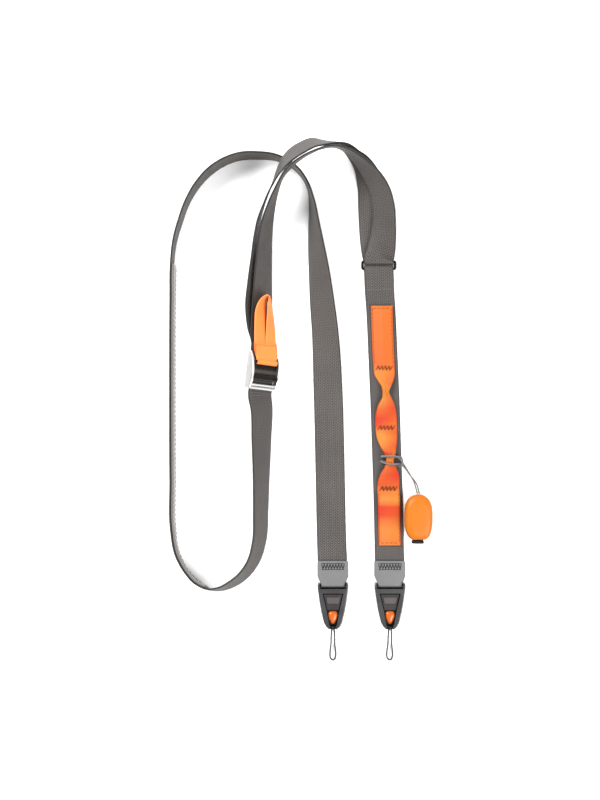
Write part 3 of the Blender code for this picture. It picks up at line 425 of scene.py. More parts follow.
# The main band's route. Columns: x, y and lift of the lower edge, in webbing widths, and roll in degrees.
route = {
    "left": (
        (1.494, -6.420, 0.078, 0), (1.482, -5.960, 0.078, 0), (1.464, -5.480, 0.005, 0), (1.405, -2.900, 0.0, 0),
        (1.330, -0.130, 0.0, -10), (1.224, 1.914, 0.0, -27), (1.120, 2.930, 0.0, -36), (1.034, 3.807, 0.0, -46),
        (0.940, 4.614, 0.0, -57), (0.855, 5.421, 0.0, -69), (0.780, 6.200, 0.0, -81), (0.640, 6.790, 0.0, -89),
        (0.392, 7.210, 0.0, -90), (-0.020, 7.560, 0.0, -90), (-0.480, 7.745, 0.0, -89), (-1.045, 7.800, 0.0, -87),
        (-1.646, 7.775, 0.0, -87), (-2.195, 7.586, 0.0, -87), (-2.720, 7.230, 0.0, -87), (-3.110, 6.790, 0.0, -88),
        (-3.420, 6.270, 0.0, -89), (-3.670, 5.600, 0.0, -89), (-3.865, 4.900, 0.0, -90), (-3.955, 4.120, 0.0, -91),
        (-3.980, 2.900, 0.0, -92), (-3.990, -0.130, 0.0, -92), (-3.981, -3.170, 0.0, -92), (-3.965, -4.830, 0.0, -93),
        (-3.830, -5.660, 0.0, -95), (-3.566, -6.210, 0.0, -97), (-3.150, -6.680, 0.0, -98),
        (-2.737, -6.872, 0.0, -100), (-2.370, -6.868, 0.0, -104), (-1.960, -6.710, 0.0, -109),
        (-1.537, -6.400, 0.0, -112), (-1.190, -5.900, 0.0, -114), (-1.000, -5.210, 0.0, -116),
        (-0.955, -4.200, 0.0, -118), (-0.940, -3.180, 0.0, -121), (-0.930, -1.830, 0.03, -129),
        (-0.930, -0.700, 0.10, -136),
    ),
    "inner": (
        (-0.905, 1.560, 0.12, -138), (-0.915, 2.300, 0.10, -133), (-0.890, 3.240, 0.07, -127),
        (-0.845, 4.332, 0.09, -120), (-0.805, 4.950, 0.20, -115), (-0.730, 5.490, 0.36, -109),
        (-0.602, 5.990, 0.55, -101), (-0.444, 6.440, 0.76, -94), (-0.300, 6.745, 0.92, -89),
        (-0.045, 7.110, 1.07, -88), (0.198, 7.330, 1.12, -86), (0.486, 7.532, 1.10, -84), (0.834, 7.728, 1.02, -82),
        (1.210, 7.880, 0.92, -81), (1.570, 7.930, 0.83, -82), (1.930, 7.830, 0.73, -87), (2.240, 7.620, 0.64, -95),
        (2.500, 7.380, 0.54, -104), (2.838, 6.980, 0.42, -116), (3.075, 6.540, 0.33, -125), (3.200, 6.000, 0.25, -132),
        (3.215, 5.422, 0.16, -139), (3.175, 4.900, 0.12, -151), (3.110, 4.500, 0.12, -168),
    ),
    "outer": (
        (3.000, 4.500, 0.0, -180), (2.930, 4.950, 0.0, -179), (2.890, 5.490, 0.0, -176), (2.850, 6.140, 0.0, -166),
        (2.795, 6.780, 0.0, -152), (2.640, 7.240, 0.0, -132), (2.380, 7.660, 0.04, -113), (2.140, 7.880, 0.16, -99),
        (1.860, 8.040, 0.40, -90), (1.480, 8.100, 0.70, -80), (1.076, 8.072, 0.93, -66), (0.768, 8.020, 1.02, -60),
        (0.514, 7.892, 1.08, -58), (0.249, 7.731, 1.10, -58), (0.019, 7.524, 1.12, -62), (-0.165, 7.318, 1.11, -68),
        (-0.365, 7.033, 1.00, -77), (-0.570, 6.640, 0.78, -84.5), (-0.800, 6.140, 0.55, -87),
        (-1.000, 5.580, 0.36, -91), (-1.120, 5.000, 0.20, -93), (-1.200, 4.300, 0.06, -96), (-1.250, 3.500, 0.0, -104),
        (-1.210, 2.700, 0.0, -120), (-1.060, 2.050, 0.02, -134),
    ),
    "front": (
        (3.125, 2.850, 0.0, 0), (3.152, 2.400, 0.0, 0), (3.215, 1.000, 0.0, 0), (3.285, -0.600, 0.0, 0),
        (3.338, -2.200, 0.0, 0), (3.403, -4.300, 0.0, 0), (3.428, -5.480, 0.005, 0), (3.435, -5.960, 0.078, 0),
        (3.440, -6.420, 0.078, 0),
    ),
}
step = 0.0016

# The ring's bars carry the folds: y = bar + r cos q, z = ring + r sin q.
ring = {"x": 3.063 * webWidth, "y": 4.130 * webWidth, "wire": 0.0018, "spacing": 0.0051}
turnRadius = ring["wire"] / 2 + gap + webThick / 2
ringZ = turnRadius + webThick / 2 + 0.0001
ringTop = ringZ + turnRadius
barTop = ring["y"] + ring["spacing"] / 2
barLow = ring["y"] - ring["spacing"] / 2


# Points of a half turn round a ring bar, from one angle to another.
def foldRound(barY, startDeg, endDeg, count):
    q = np.radians(np.linspace(startDeg, endDeg, count))
    return np.column_stack([np.full(count, ring["x"]), barY + turnRadius * np.cos(q), ringZ + turnRadius * np.sin(q)])


# The buckle's axes: u across the band, v up the strap, n out of the band's upper face.
buckle = {
    "at": (-0.905, 0.430),
    "turn": math.radians(-6.5),
    "tilt": math.radians(40.0),
    "length": 0.0252,
    "height": 0.0078,
    "plate": 0.0012,
}
turnU = np.array([math.cos(buckle["turn"]), math.sin(buckle["turn"]), 0.0])
buckleV = np.array([-math.sin(buckle["turn"]), math.cos(buckle["turn"]), 0.0])
buckleU = unit(math.cos(buckle["tilt"]) * turnU - math.sin(buckle["tilt"]) * up)
buckleN = np.cross(buckleU, buckleV)
buckleHalf = webWidth / 2 + gap + buckle["plate"]
buckleLift = math.sin(buckle["tilt"]) * buckleHalf + math.cos(buckle["tilt"]) * buckle["height"] * 0.42
buckleCentre = np.array([buckle["at"][0] * webWidth, buckle["at"][1] * webWidth, buckleLift])


# A point at u, v, n of the buckle's axes.
def inBuckle(u, v, n):
    return buckleCentre + u * buckleU + v * buckleV + n * buckleN


buckleRoll = -(math.pi - buckle["tilt"])
through = [[*inBuckle(0, v, 0), buckleRoll] for v in np.linspace(-0.56, 0.66, 7) * buckle["length"]]
innerEnd = [
    [ring["x"] + 0.0002, barTop + 0.0026, ringTop - 0.0001, -math.pi],
    [ring["x"], barTop + 0.0004, ringTop, -math.pi],
]
rearV = buckle["length"] / 2
rear = [
    [*inBuckle(-0.0001, rearV + 0.0085, -0.0030), buckleRoll],
    [*inBuckle(0, rearV + 0.0045, -0.0026), buckleRoll],
    [*inBuckle(0, rearV + 0.0010 + gap, -0.0024), buckleRoll],
]
leftRows = np.vstack([routePoints(route["left"]), through, routePoints(route["inner"]), innerEnd])
c1, w1 = withEdges(smoothThrough(leftRows, step))
c2 = foldRound(barTop, 90, 270, 15)
outerRows = np.vstack([routePoints(route["outer"]), rear])
outerRows[:, 3] = -math.pi - outerRows[:, 3]
outerStart = [[ring["x"], barTop + 0.0010, ringZ - turnRadius, 0.0]]
c3, w3 = withEdges(smoothThrough(np.vstack([outerStart, outerRows]), step))
mainAcross = np.vstack([w1, np.tile([-1.0, 0.0, 0.0], (len(c2), 1)), w3])
mainCentre = onTable(np.vstack([c1, c2, c3]), mainAcross, webWidth, webThick)
points, faces, mapMm, mainLay = bandMesh(mainCentre, mainAcross, webWidth, webThick)
mainPiece = surface("main_webbing_woven", points, faces, webLook, mapMm=mapMm, replaces=["main_webbing"])

# The pad: a second layer offset along the face, on the loop's inner side between two heights.
pad = {"top": 4.15 * webWidth, "low": -6.86 * webWidth, "thick": 0.0014, "width": webWidth - 0.0002}
leftCentre = mainCentre[: len(c1)]
inside = (leftCentre[:, 1] >= pad["low"]) & (leftCentre[:, 1] <= pad["top"]) & (leftCentre[:, 0] < -2.66 * webWidth)
inward = np.cross(unit(np.gradient(leftCentre, axis=0)), w1)[inside]
sideOf = 1.0 if inward[len(inward) // 2, 0] > 0 else -1.0
padCentre = leftCentre[inside] + sideOf * ((webThick + pad["thick"]) / 2 + gap + 0.00005) * inward
padCentre = onTable(padCentre, w1[inside], pad["width"], pad["thick"])
points, faces, mapMm, padLay = bandMesh(padCentre, w1[inside], pad["width"], pad["thick"])
padPiece = surface("shoulder_pad_woven", points, faces, padLook, mapMm=mapMm, replaces=["shoulder_pad"])

# The front band: its sewn end under the ring's lower bar, round the bar and down to the right connector.
lowPly = np.array(
    [
        [ring["x"] + 0.0005, barLow - 0.0140, webThick / 2 + 0.0001, 0.0],
        [ring["x"], barLow - 0.0010, ringZ - turnRadius, 0.0],
    ]
)
f1, g1 = withEdges(smoothThrough(lowPly, step))
f2 = foldRound(barLow, -90, 90, 15)[1:-1]
topStart = [
    [ring["x"], barLow - 0.0002, ringTop, 0.0],
    [ring["x"], barLow - 0.0020, ringTop - 0.0001, 0.0],
    [ring["x"] + 0.0003, barLow - 0.0070, webThick * 1.5 + 0.0012, 0.0],
    [ring["x"] + 0.0005, barLow - 0.0145, webThick * 1.5 + 0.0006, 0.0],
]
f3, g3 = withEdges(smoothThrough(np.vstack([topStart, routePoints(route["front"])]), step))
frontCentre = np.vstack([f1, f2, f3])
frontAcross = np.tile([-1.0, 0.0, 0.0], (len(frontCentre), 1))
frontAcross[len(f1) + len(f2) :] = -g3 * np.sign(g3[:, :1])
frontCentre = onTable(frontCentre, frontAcross, webWidth, webThick)
points, faces, mapMm, frontLay = bandMesh(frontCentre, frontAcross, webWidth, webThick)
frontPiece = surface("front_webbing_woven", points, faces, webLook, mapMm=mapMm, replaces=["front_webbing"])
print("stage: bands woven", round(mainLay["s"][-1], 3), round(frontLay["s"][-1], 3))

# The sewn ribbon. Columns: y and x in webbing widths, width and thickness as shares, lift as a share of thickness.
ribbon = {
    "width": 0.0154,
    "thick": 0.0010,
    "rows": (
        (2.745, 3.165, 0.965, 1.0, 1.0), (2.4, 3.175, 0.965, 1.0, 0.5), (1.585, 3.202, 0.965, 1.0, 0.0),
        (0.64, 3.247, 0.945, 1.0, 0.0), (0.42, 3.26, 0.925, 1.2, 0.3), (0.18, 3.295, 0.69, 1.8, 0.9),
        (-0.025, 3.312, 0.42, 2.8, 1.0), (-0.196, 3.298, 0.3, 3.4, 1.0), (-0.367, 3.329, 0.41, 3.0, 1.0),
        (-0.64, 3.322, 0.74, 2.2, 1.2), (-0.984, 3.312, 0.93, 1.4, 0.6), (-1.395, 3.32, 0.965, 1.0, 0.0),
        (-1.737, 3.337, 0.92, 1.3, 0.8), (-2.08, 3.388, 0.7, 2.0, 1.5), (-2.354, 3.445, 0.44, 3.0, 1.7),
        (-2.525, 3.431, 0.33, 3.4, 1.8), (-2.731, 3.45, 0.49, 3.0, 1.7), (-3.005, 3.423, 0.82, 2.0, 1.4),
        (-3.279, 3.399, 0.97, 1.4, 0.6), (-3.484, 3.39, 0.985, 1.0, 0.0), (-3.69, 3.402, 0.99, 1.5, 0.7),
        (-3.895, 3.411, 0.99, 1.6, 1.4), (-4.24, 3.416, 0.985, 1.3, 0.9), (-4.65, 3.423, 0.985, 1.0, 0.2),
        (-5.435, 3.441, 0.98, 1.0, 0.0),
    ),
}
fine = smoothThrough(np.array(ribbon["rows"]), 0.032)
# Each section: x = X + (W/2) a, z = Z + (T/2)(1 +- c (1-|a|^8)^(1/2)). On the top side the crease is
# c = 1 - 0.28 g (1 + cos(3 pi a + 4 y)), where g goes from 0 at full width to 1 at none, and below it c = 1.
share = np.sin(np.linspace(-math.pi / 2, math.pi / 2, 21))
gathered = np.clip(1.0 - fine[:, 2] / 0.93, 0.0, 1.0)[:, None]
halfWide = fine[:, 2:3] * ribbon["width"] / 2
thick = fine[:, 3:4] * ribbon["thick"]
lowZ = webThick + 0.0001 + gap + fine[:, 4:5] * ribbon["thick"]
hump = np.sqrt(np.clip(1 - np.abs(share) ** 8, 0, 1))
crease = 1 - 0.28 * gathered * (1 + np.cos(3 * math.pi * share + 4 * fine[:, 0:1]))
topZ = lowZ + thick / 2 + thick / 2 * hump * crease
underZ = lowZ + thick / 2 - thick / 2 * hump
edgeX = fine[:, 1:2] * webWidth + halfWide * share
rowY = np.broadcast_to(fine[:, 0:1] * webWidth, edgeX.shape)
topSide = np.stack([edgeX, rowY, topZ], -1)
underSide = np.stack([edgeX, rowY, underZ], -1)[:, ::-1][:, 1:-1]
points = np.concatenate([topSide, underSide], axis=1)
columns = points.shape[1]
flatU = np.concatenate([share, share[::-1][1:-1]])[None] * 7.5 + 0 * rowY[:, :1]
s = np.concatenate([[0.0], np.cumsum(np.linalg.norm(np.diff(topSide[:, 10], axis=0), axis=1))]) * 1000
mapMm = np.stack([flatU, np.broadcast_to(s[:, None], flatU.shape)], -1).reshape(-1, 2)
faces = gridFaces(len(fine), columns, True)[:, ::-1].tolist()
faces += [list(range(columns)), list(range((len(fine) - 1) * columns, len(fine) * columns))[::-1]]
ribbonPiece = surface(
    "daisy_ribbon_woven", points.reshape(-1, 3), faces, ribbonLook, mapMm=mapMm, replaces=["daisy_ribbon"]
)

# Painted light and shade along the ribbon: painted highlights on the bulges and twists, painted shade between them, and
# one side of each bulge painted brighter. Columns: y in webbing widths, painted light, side.
satinLightTable = (
    (2.75, 0.62, 0.0), (1.60, 0.55, 0.0), (0.70, 0.50, 0.1), (0.50, 0.85, -0.2), (0.10, 0.70, -0.3),
    (-0.17, 0.95, 0.0), (-0.40, 0.80, -0.4), (-0.75, 0.30, -0.3), (-1.10, 0.10, 0.2), (-1.35, 0.30, 0.3),
    (-1.55, 0.60, -0.4), (-1.75, 0.90, -0.5), (-2.05, 0.55, -0.4), (-2.30, 0.25, 0.3), (-2.52, 0.85, 0.0),
    (-2.75, 0.30, -0.2), (-3.05, 0.10, -0.2), (-3.35, 0.25, 0.0), (-3.55, 0.60, 0.1), (-3.85, 0.98, 0.1),
    (-4.02, 0.60, 0.1), (-4.12, 0.05, 0.1), (-4.40, 0.12, 0.1), (-4.60, 0.55, 0.0), (-4.90, 0.85, 0.0),
    (-5.45, 0.70, 0.0),
)
satinLightRows = np.array(satinLightTable)[::-1]
satinLightAt = np.interp(fine[:, 0], satinLightRows[:, 0], satinLightRows[:, 1])
sideAt = np.interp(fine[:, 0], satinLightRows[:, 0], satinLightRows[:, 2])
sideShare = np.concatenate([share, share[::-1][1:-1]])
satinLight = np.clip(satinLightAt[:, None] + sideAt[:, None] * sideShare[None], 0, 1)
# The painted light is kept on the ribbon's points as an attribute for its material.
ribbonPiece.data.attributes.new("satinLight", "FLOAT", "POINT").data.foreach_set("value", satinLight.reshape(-1).astype(np.float32))


# The ribbon's top at a height y and a share a of its half width.
def ribbonTop(y, a):
    rows = np.argsort(fine[:, 0])
    yRow = fine[rows, 0] * webWidth
    spot = np.interp(a, share, np.arange(len(share)))
    low = np.floor(spot).astype(int).clip(0, len(share) - 2)
    part = spot - low
    out = []
    for grid in (edgeX, topZ):
        a0 = np.array([np.interp(yy, yRow, grid[rows, k]) for yy, k in zip(y, low)])
        a1 = np.array([np.interp(yy, yRow, grid[rows, k + 1]) for yy, k in zip(y, low)])
        out.append(a0 + (a1 - a0) * part)
    return np.column_stack([out[0], y, out[1]])


# Bartacks: zigzag stitches across the ribbon, with long leaning strokes and short ones back.
tack = {"heights": (0.0125, -0.0283, -0.0698), "reach": 0.74, "tall": 0.0034, "count": 10}
starts, ends = [], []
for height in tack["heights"]:
    k = np.arange(tack["count"])
    a = np.linspace(-tack["reach"], tack["reach"], tack["count"]) + np.where(k % 2, 0.09, -0.09)
    y = height + np.where(k % 2, 0.5, -0.5) * tack["tall"]
    corners = ribbonTop(y, a)
    starts.append(corners[:-1])
    ends.append(corners[1:])
starts, ends = np.vstack(starts), np.vstack(ends)
points, faces = stitchMesh(starts + up * 0.0001, ends + up * 0.0001, np.tile(up, (len(starts), 1)), 0.00023, 0.00015)
surface("ribbon_bartacks", points, faces, brownThreadLook)

# The border stitch: round the label's sides and top, and down both sides of the ribbon's last part.
border = {"pitch": 0.0026}
runs = [((0.0530, -0.86), (0.0150, -0.86)), ((0.0530, 0.86), (0.0150, 0.86)), ((0.0532, -0.8), (0.0532, 0.8))]
runs += [((-0.0730, -0.88), (-0.1070, -0.88)), ((-0.0730, 0.88), (-0.1070, 0.88)), ((-0.1070, -0.8), (-0.1070, 0.8))]
starts, ends = [], []
for (y0, a0), (y1, a1) in runs:
    length = abs(y1 - y0) + abs(a1 - a0) * ribbon["width"] / 2
    count = int(length / border["pitch"])
    t = np.arange(count)[:, None] / count
    both = np.array([y0, a0]) + (np.array([y1, a1]) - [y0, a0]) * t
    stepOn = (np.array([y1, a1]) - [y0, a0]) * 0.68 / count
    starts.append(ribbonTop(both[:, 0], both[:, 1]))
    ends.append(ribbonTop((both + stepOn)[:, 0], (both + stepOn)[:, 1]))
starts, ends = np.vstack(starts), np.vstack(ends)
points, faces = stitchMesh(starts, ends, np.tile(up, (len(starts), 1)), 0.00025, 0.0001)
surface("ribbon_border_stitches", points, faces, orangeThreadLook)
print("stage: ribbon sewn")

# The pull tab rides on the lever. Its axes: s down the slope, y up the strap, n off the slope.
pull = {"width": 0.0200, "ply": 0.0009, "seamY": 0.0118, "length": 0.0450, "barV": 0.0076, "pinN": 0.0031}
slope = math.radians(45.0)
pullS = np.array([math.cos(slope), 0.0, -math.sin(slope)])
pullN = np.array([math.sin(slope), 0.0, math.cos(slope)])
pullStart = inBuckle(0, pull["barV"], pull["pinN"])
sleeveU = 2 * (webWidth / 2 - 0.0002 - buckle["plate"] - gap)


# A point at s, y, n of the pull tab's axes.
def inPull(s, y, n):
    return pullStart + s * pullS + np.array([0.0, y, 0.0]) + n * pullN


# The flat part: a sleeve round the bar, then a panel that widens and turns from the bar's slope to the tab's.
panelRows = (
    (buckleU, (0.0, 0.0012, 0.0), sleeveU),
    (buckleU, (0.0001, 0.0019, 0.0), sleeveU),
    (buckleU, (0.0001, 0.0042, 0.0), pull["width"] - 0.0014),
    (unit(buckleU + pullS), (-0.0006, 0.0080, 0.0002), pull["width"]),
    (pullS, (-0.0014, pull["seamY"] + 0.0012, 0.0004), pull["width"]),
)
table = np.array([[*inPull(*at), *direction, wide] for direction, at, wide in panelRows])
panel = smoothThrough(table, 0.0009)
points, faces, mapMm, panelLay = bandMesh(panel[:, :3], unit(panel[:, 3:6]), panel[:, 6], 2 * pull["ply"], flat=13)
panelPiece = surface("pull_tab_panel", points, faces, pullLook, "lever", mapMm, ["pull_tab"])

# The sleeve: a hollow turn of ribbon, radius r round the bar, P = bar + u w + r (cos q v + sin q n).
q = np.linspace(0, 2 * math.pi, 33)[:-1]
sections = []
for wide, radius in ((-0.5, 0.00122), (-0.5, 0.0019), (0.5, 0.0019), (0.5, 0.00122)):
    turn = np.cos(q)[:, None] * buckleV + np.sin(q)[:, None] * buckleN
    sections.append(pullStart + wide * sleeveU * buckleU + radius * turn)
points = np.concatenate(sections)
faces = np.concatenate([gridFaces(4, 32, True), [[96 + k, 96 + (k + 1) % 32, (k + 1) % 32, k] for k in range(32)]])
mapMm = np.column_stack([np.repeat([-9.0, -9.0, 9.0, 9.0], 32), np.tile(q * 1.9, 4)])
surface("pull_tab_sleeve", points, faces, pullLook, "lever", mapMm)

# The loop: a narrow ribbon up from the seam, over at the top and back. Columns: the middle's x and z from the
# bar in pull widths, its y as a share of the loop's length, and its roll off the table.
loopRows = (
    (-0.2085, 0.000, 0.237, 45), (-0.2100, 0.217, 0.245, 45), (-0.2050, 0.458, 0.265, 46), (-0.1950, 0.639, 0.290, 48),
    (-0.1450, 0.789, 0.315, 56), (-0.0450, 0.916, 0.330, 72), (0.0450, 0.970, 0.320, 88), (0.0950, 0.928, 0.280, 96),
    (0.1150, 0.819, 0.210, 102), (0.1275, 0.639, 0.110, 110), (0.1375, 0.428, 0.015, 120),
    (0.1425, 0.217, -0.065, 129), (0.1380, 0.000, -0.110, 135),
)
loop = np.array(loopRows) * [pull["width"], pull["length"] - pull["seamY"], pull["width"], math.radians(1.0)]
loop[:, :3] += pullStart + [0.0, pull["seamY"], 0.0]
loopCentre, loopAcross = withEdges(smoothThrough(loop, 0.0006))
points, faces, mapMm, loopLay = bandMesh(loopCentre, loopAcross, pull["width"] / 2 - 0.0004, pull["ply"], flat=7)
surface("pull_tab_loop", points, faces, pullLook, "lever", mapMm)

# The seam: one row across the panel at its far end.
seam = {"reach": 0.0086, "count": 10, "long": 0.00124, "inset": 0.0016}
a = np.linspace(-seam["reach"], seam["reach"], seam["count"])
sAt = np.full(seam["count"], panelLay["s"][-1] - seam["inset"])
nAt = np.full(seam["count"], pull["ply"] + 0.00008)
sign = 1.0 if panelLay["face"][-1] @ pullN > 0 else -1.0
starts = onBand(panelLay, sAt, a - seam["long"] / 2, sign * nAt)
ends = onBand(panelLay, sAt, a + seam["long"] / 2, sign * nAt)
points, faces = stitchMesh(starts, ends, np.tile(pullN, (seam["count"], 1)), 0.00018, 0.00012)
surface("pull_tab_seam", points, faces, orangeThreadLook, "lever")
print("stage: pull tab made, its loop", round(float(loopLay["s"][-1]), 4))

# The end tabs: one strip from the back, round the housing's bar, to the front, narrower where the notch holds it.
tab = {"topY": -0.1192, "ply": 0.0010, "bar": 0.0009, "barY": -0.0012, "full": 0.0210, "narrow": 0.0162}
tabTack = {"low": -0.12475, "high": -0.12105, "reach": 0.0078, "count": 16}
foldRadius = tab["bar"] + gap + tab["ply"] / 2
barZ = 0.0001 + tab["ply"] / 2 + foldRadius
y0 = tab["topY"] - connector["topY"]
back = [(y, 0.0001 + tab["ply"] / 2) for y in np.linspace(y0, tab["barY"] + 0.0001, 24)]
noseTurn = np.radians(np.linspace(-90, -270, 17)[1:-1])
nose = [(tab["barY"] + foldRadius * math.cos(t), barZ + foldRadius * math.sin(t)) for t in noseTurn]
frontY = np.linspace(tab["barY"] + 0.0001, y0, 24)
frontPly = [(y, barZ + foldRadius - 0.0000122 * k) for k, y in enumerate(frontY)]
rows = np.array(back + nose + frontPly)
narrowing = np.clip((rows[:, 0] - tab["barY"]) / 0.0056, 0, 1)
rounding = 0.0016 * np.clip(1 - (y0 - rows[:, 0]) / 0.0012, 0, 1) ** 2
tabWidth = tab["narrow"] + (tab["full"] - tab["narrow"]) * narrowing - rounding
tabAcross = np.tile([-1.0, 0.0, 0.0], (len(rows), 1))
for side, x in connector["x"].items():
    centre = np.column_stack([np.full(len(rows), x), connector["topY"] + rows[:, 0], rows[:, 1]])
    points, faces, mapMm, tabLay = bandMesh(centre, tabAcross, tabWidth, tab["ply"], flat=13)
    name = side + "_end_tab_leather"
    leatherPiece = surface(name, points, faces, tabLook, mapMm=mapMm, replaces=[side + "_end_tab"])
    # A generic bartack: zigzag stitches between two rows, with a row of straight ones above and below.
    low, high, count = tabTack["low"], tabTack["high"], tabTack["count"]
    a = np.linspace(-tabTack["reach"], tabTack["reach"], count + 1)
    z = np.full(count, barZ + foldRadius + tab["ply"] / 2 - 0.00018)
    odd = np.arange(count) % 2
    starts = [np.column_stack([x + a[:-1], np.where(odd, low, high), z])]
    ends = [np.column_stack([x + a[1:], np.where(odd, high, low), z])]
    for y in (low - 0.0002, high + 0.0002):
        starts.append(np.column_stack([x + a[:-1] + 0.0001, np.full(count, y), z]))
        ends.append(np.column_stack([x + a[:-1] + 0.0009, np.full(count, y), z]))
    starts, ends = np.vstack(starts), np.vstack(ends)
    points, faces = stitchMesh(starts, ends, np.tile(up, (len(starts), 1)), 0.00026, 0.0001)
    surface(side + "_end_tab_bartack", points, faces, darkThreadLook)
print("stage: end tabs sewn")


# A domed piece from an outline: ring k is the outline times scale k about its middle, at height k.
def domeMesh(outline, middle, rings):
    outline, middle = np.asarray(outline, float), np.asarray(middle, float)
    points = [np.column_stack([middle + (outline - middle) * scale, np.full(len(outline), z)]) for scale, z in rings]
    points.append(np.array([[*middle, rings[-1][1] + 0.00001]]))
    count = len(outline)
    faces = gridFaces(len(rings), count, True).tolist()
    top = (len(rings) - 1) * count
    faces += [[top + k, top + (k + 1) % count, len(rings) * count] for k in range(count)]
    faces.append(list(range(count))[::-1])
    return np.vstack(points), faces


# A closed outline from rows of (distance down, half width), smoothed, right side down and left side up.
def outlineOf(rows, stepSize):
    rows = np.array([(x, -y, 0.0) for y, x in rows])
    right = smoothThrough(rows, stepSize)[:, :2]
    left = right[::-1] * [-1, 1]
    return np.vstack([right, left])


# The anchors: a domed teardrop in the housing's recess.
anchor = {
    "rows": (
        (0.6032, 0.02), (0.6040, 0.10), (0.612, 0.20), (0.635, 0.280), (0.670, 0.315), (0.720, 0.310), (0.770, 0.260),
        (0.830, 0.165), (0.872, 0.08), (0.880, 0.02),
    ),
    "length": 0.0315,
    "halfWidth": 0.0104,
    "housing": 0.0064,
    "recess": 0.0033,
}
floorZ = 0.0001 + anchor["housing"] - anchor["recess"] + gap
outline = outlineOf([(d * anchor["length"], h * anchor["halfWidth"]) for d, h in anchor["rows"]], 0.0004)
rings = [(0.97, floorZ), (1.0, floorZ + 0.0006)]
rings += [(math.cos(t) ** 0.8, floorZ + 0.0008 + 0.0020 * math.sin(t)) for t in np.linspace(0.12, 1.5, 9)]
for side, x in connector["x"].items():
    points, faces = domeMesh(outline + [x, connector["topY"]], [x, connector["topY"] - 0.0222], rings)
    surface(side + "_anchor_domed", points, faces, anchorLook, replaces=[side + "_anchor"])
print("stage: anchors made")

# The pod: an outline from its half widths, rings that go out, up a straight side, over a bevel to a raised face.
pod = {
    "at": (0.0880, -0.0889),
    "length": 0.0308,
    "width": 0.0190,
    "rows": (
        (0.0, 0.03), (0.001, 0.14), (0.012, 0.30), (0.045, 0.53), (0.10, 0.72), (0.19, 0.88), (0.32, 0.975),
        (0.50, 1.0), (0.66, 0.985), (0.80, 0.92), (0.90, 0.80), (0.965, 0.64), (0.993, 0.50), (1.0, 0.36),
        (1.0005, 0.03),
    ),
    "rings": (
        (0.80, 0.0001), (0.90, 0.0004), (0.965, 0.0016), (0.992, 0.0034), (0.998, 0.0056), (0.990, 0.0058),
        (0.990, 0.0060), (0.999, 0.0062), (0.998, 0.0078), (0.980, 0.0092), (0.945, 0.0102), (0.850, 0.0111),
        (0.790, 0.0115), (0.740, 0.0117), (0.550, 0.0120), (0.300, 0.0121), (0.08, 0.0121),
    ),
}
outline = outlineOf([(d * pod["length"], h * pod["width"] / 2) for d, h in pod["rows"]], 0.0007)
outline = outline + [pod["at"][0], pod["at"][1] + pod["length"] / 2]
points, faces = domeMesh(outline, pod["at"], pod["rings"])
podPiece = surface("pod_shell_moulded", points, faces, podLook, replaces=["pod_shell"])
print("stage: pod made")

# Stitches on the front band's sewn fold: one row across it.
foldRow = {"y": 0.0662, "from": -0.0078, "to": 0.0070, "count": 8, "long": 0.0012}
a = np.linspace(foldRow["from"], foldRow["to"], foldRow["count"])
topPly = slice(len(f1) + len(f2), None)
frontS = float(np.interp(-foldRow["y"], -frontLay["centre"][topPly, 1], frontLay["s"][topPly]))
rise = (1.0 if frontLay["face"][-1][2] > 0 else -1.0) * (webThick / 2 + 0.00006)
sAt = np.full(foldRow["count"], frontS)
starts = onBand(frontLay, sAt, a, rise)
ends = onBand(frontLay, sAt, a + foldRow["long"], rise)
points, faces = stitchMesh(starts, ends, np.tile(up, (foldRow["count"], 1)), 0.00024, 0.00012)
surface("ring_fold_stitches", points, faces, threadLook)

# Stitches below the buckle: two rows across the band that comes up from the loop.
buckleRows = {"y": -0.0046, "shifts": (0.0, -0.0016), "from": -0.0080, "to": 0.0072, "count": 9, "long": 0.0011}
leftS = mainLay["s"][: len(c1)]
nearX = np.abs(mainCentre[: len(c1), 0] - buckleCentre[0]) < 0.012
near = nearX & (np.abs(mainCentre[: len(c1), 1] - buckleRows["y"]) < 0.004)
buckleS = float(np.interp(buckleRows["y"], mainCentre[: len(c1), 1][near], leftS[near]))
rowAt = int(np.argmin(np.abs(leftS - buckleS)))
sign = 1.0 if mainLay["face"][rowAt][2] > 0 else -1.0
rise = sign * (webThick / 2 + 0.00006)
a = np.linspace(buckleRows["from"], buckleRows["to"], buckleRows["count"])
starts, ends = [], []
for shift in buckleRows["shifts"]:
    sAt = np.full(buckleRows["count"], buckleS + shift)
    starts.append(onBand(mainLay, sAt, a, rise))
    ends.append(onBand(mainLay, sAt, a + buckleRows["long"], rise))
normals = np.tile(sign * mainLay["face"][rowAt], (2 * buckleRows["count"], 1))
points, faces = stitchMesh(np.vstack(starts), np.vstack(ends), normals, 0.00022, 0.0001)
surface("buckle_end_stitches", points, faces, threadLook)

# The pad's edge stitches: two rows near its edges, on the face that looks into the loop.
padRows = {"edge": 0.0082, "pitch": 0.0032, "long": 0.0021}
starts, ends, normals = [], [], []
count = int(padLay["s"][-1] / padRows["pitch"])
sPad = 0.002 + np.arange(count) * padRows["pitch"]
rise = sideOf * (pad["thick"] / 2 + 0.00006)
for edge in (-padRows["edge"], padRows["edge"]):
    starts.append(onBand(padLay, sPad[:-1], edge, rise))
    ends.append(onBand(padLay, sPad[:-1] + padRows["long"], edge, rise))
    faceAt = np.stack([np.interp(sPad[:-1], padLay["s"], padLay["face"][:, i]) for i in range(3)], -1)
    normals.append(sideOf * unit(faceAt))
points, faces = stitchMesh(np.vstack(starts), np.vstack(ends), np.vstack(normals), 0.0002, 0.0001)
surface("pad_edge_stitches", points, faces, padThreadLook)
print("stage: stitches sewn")

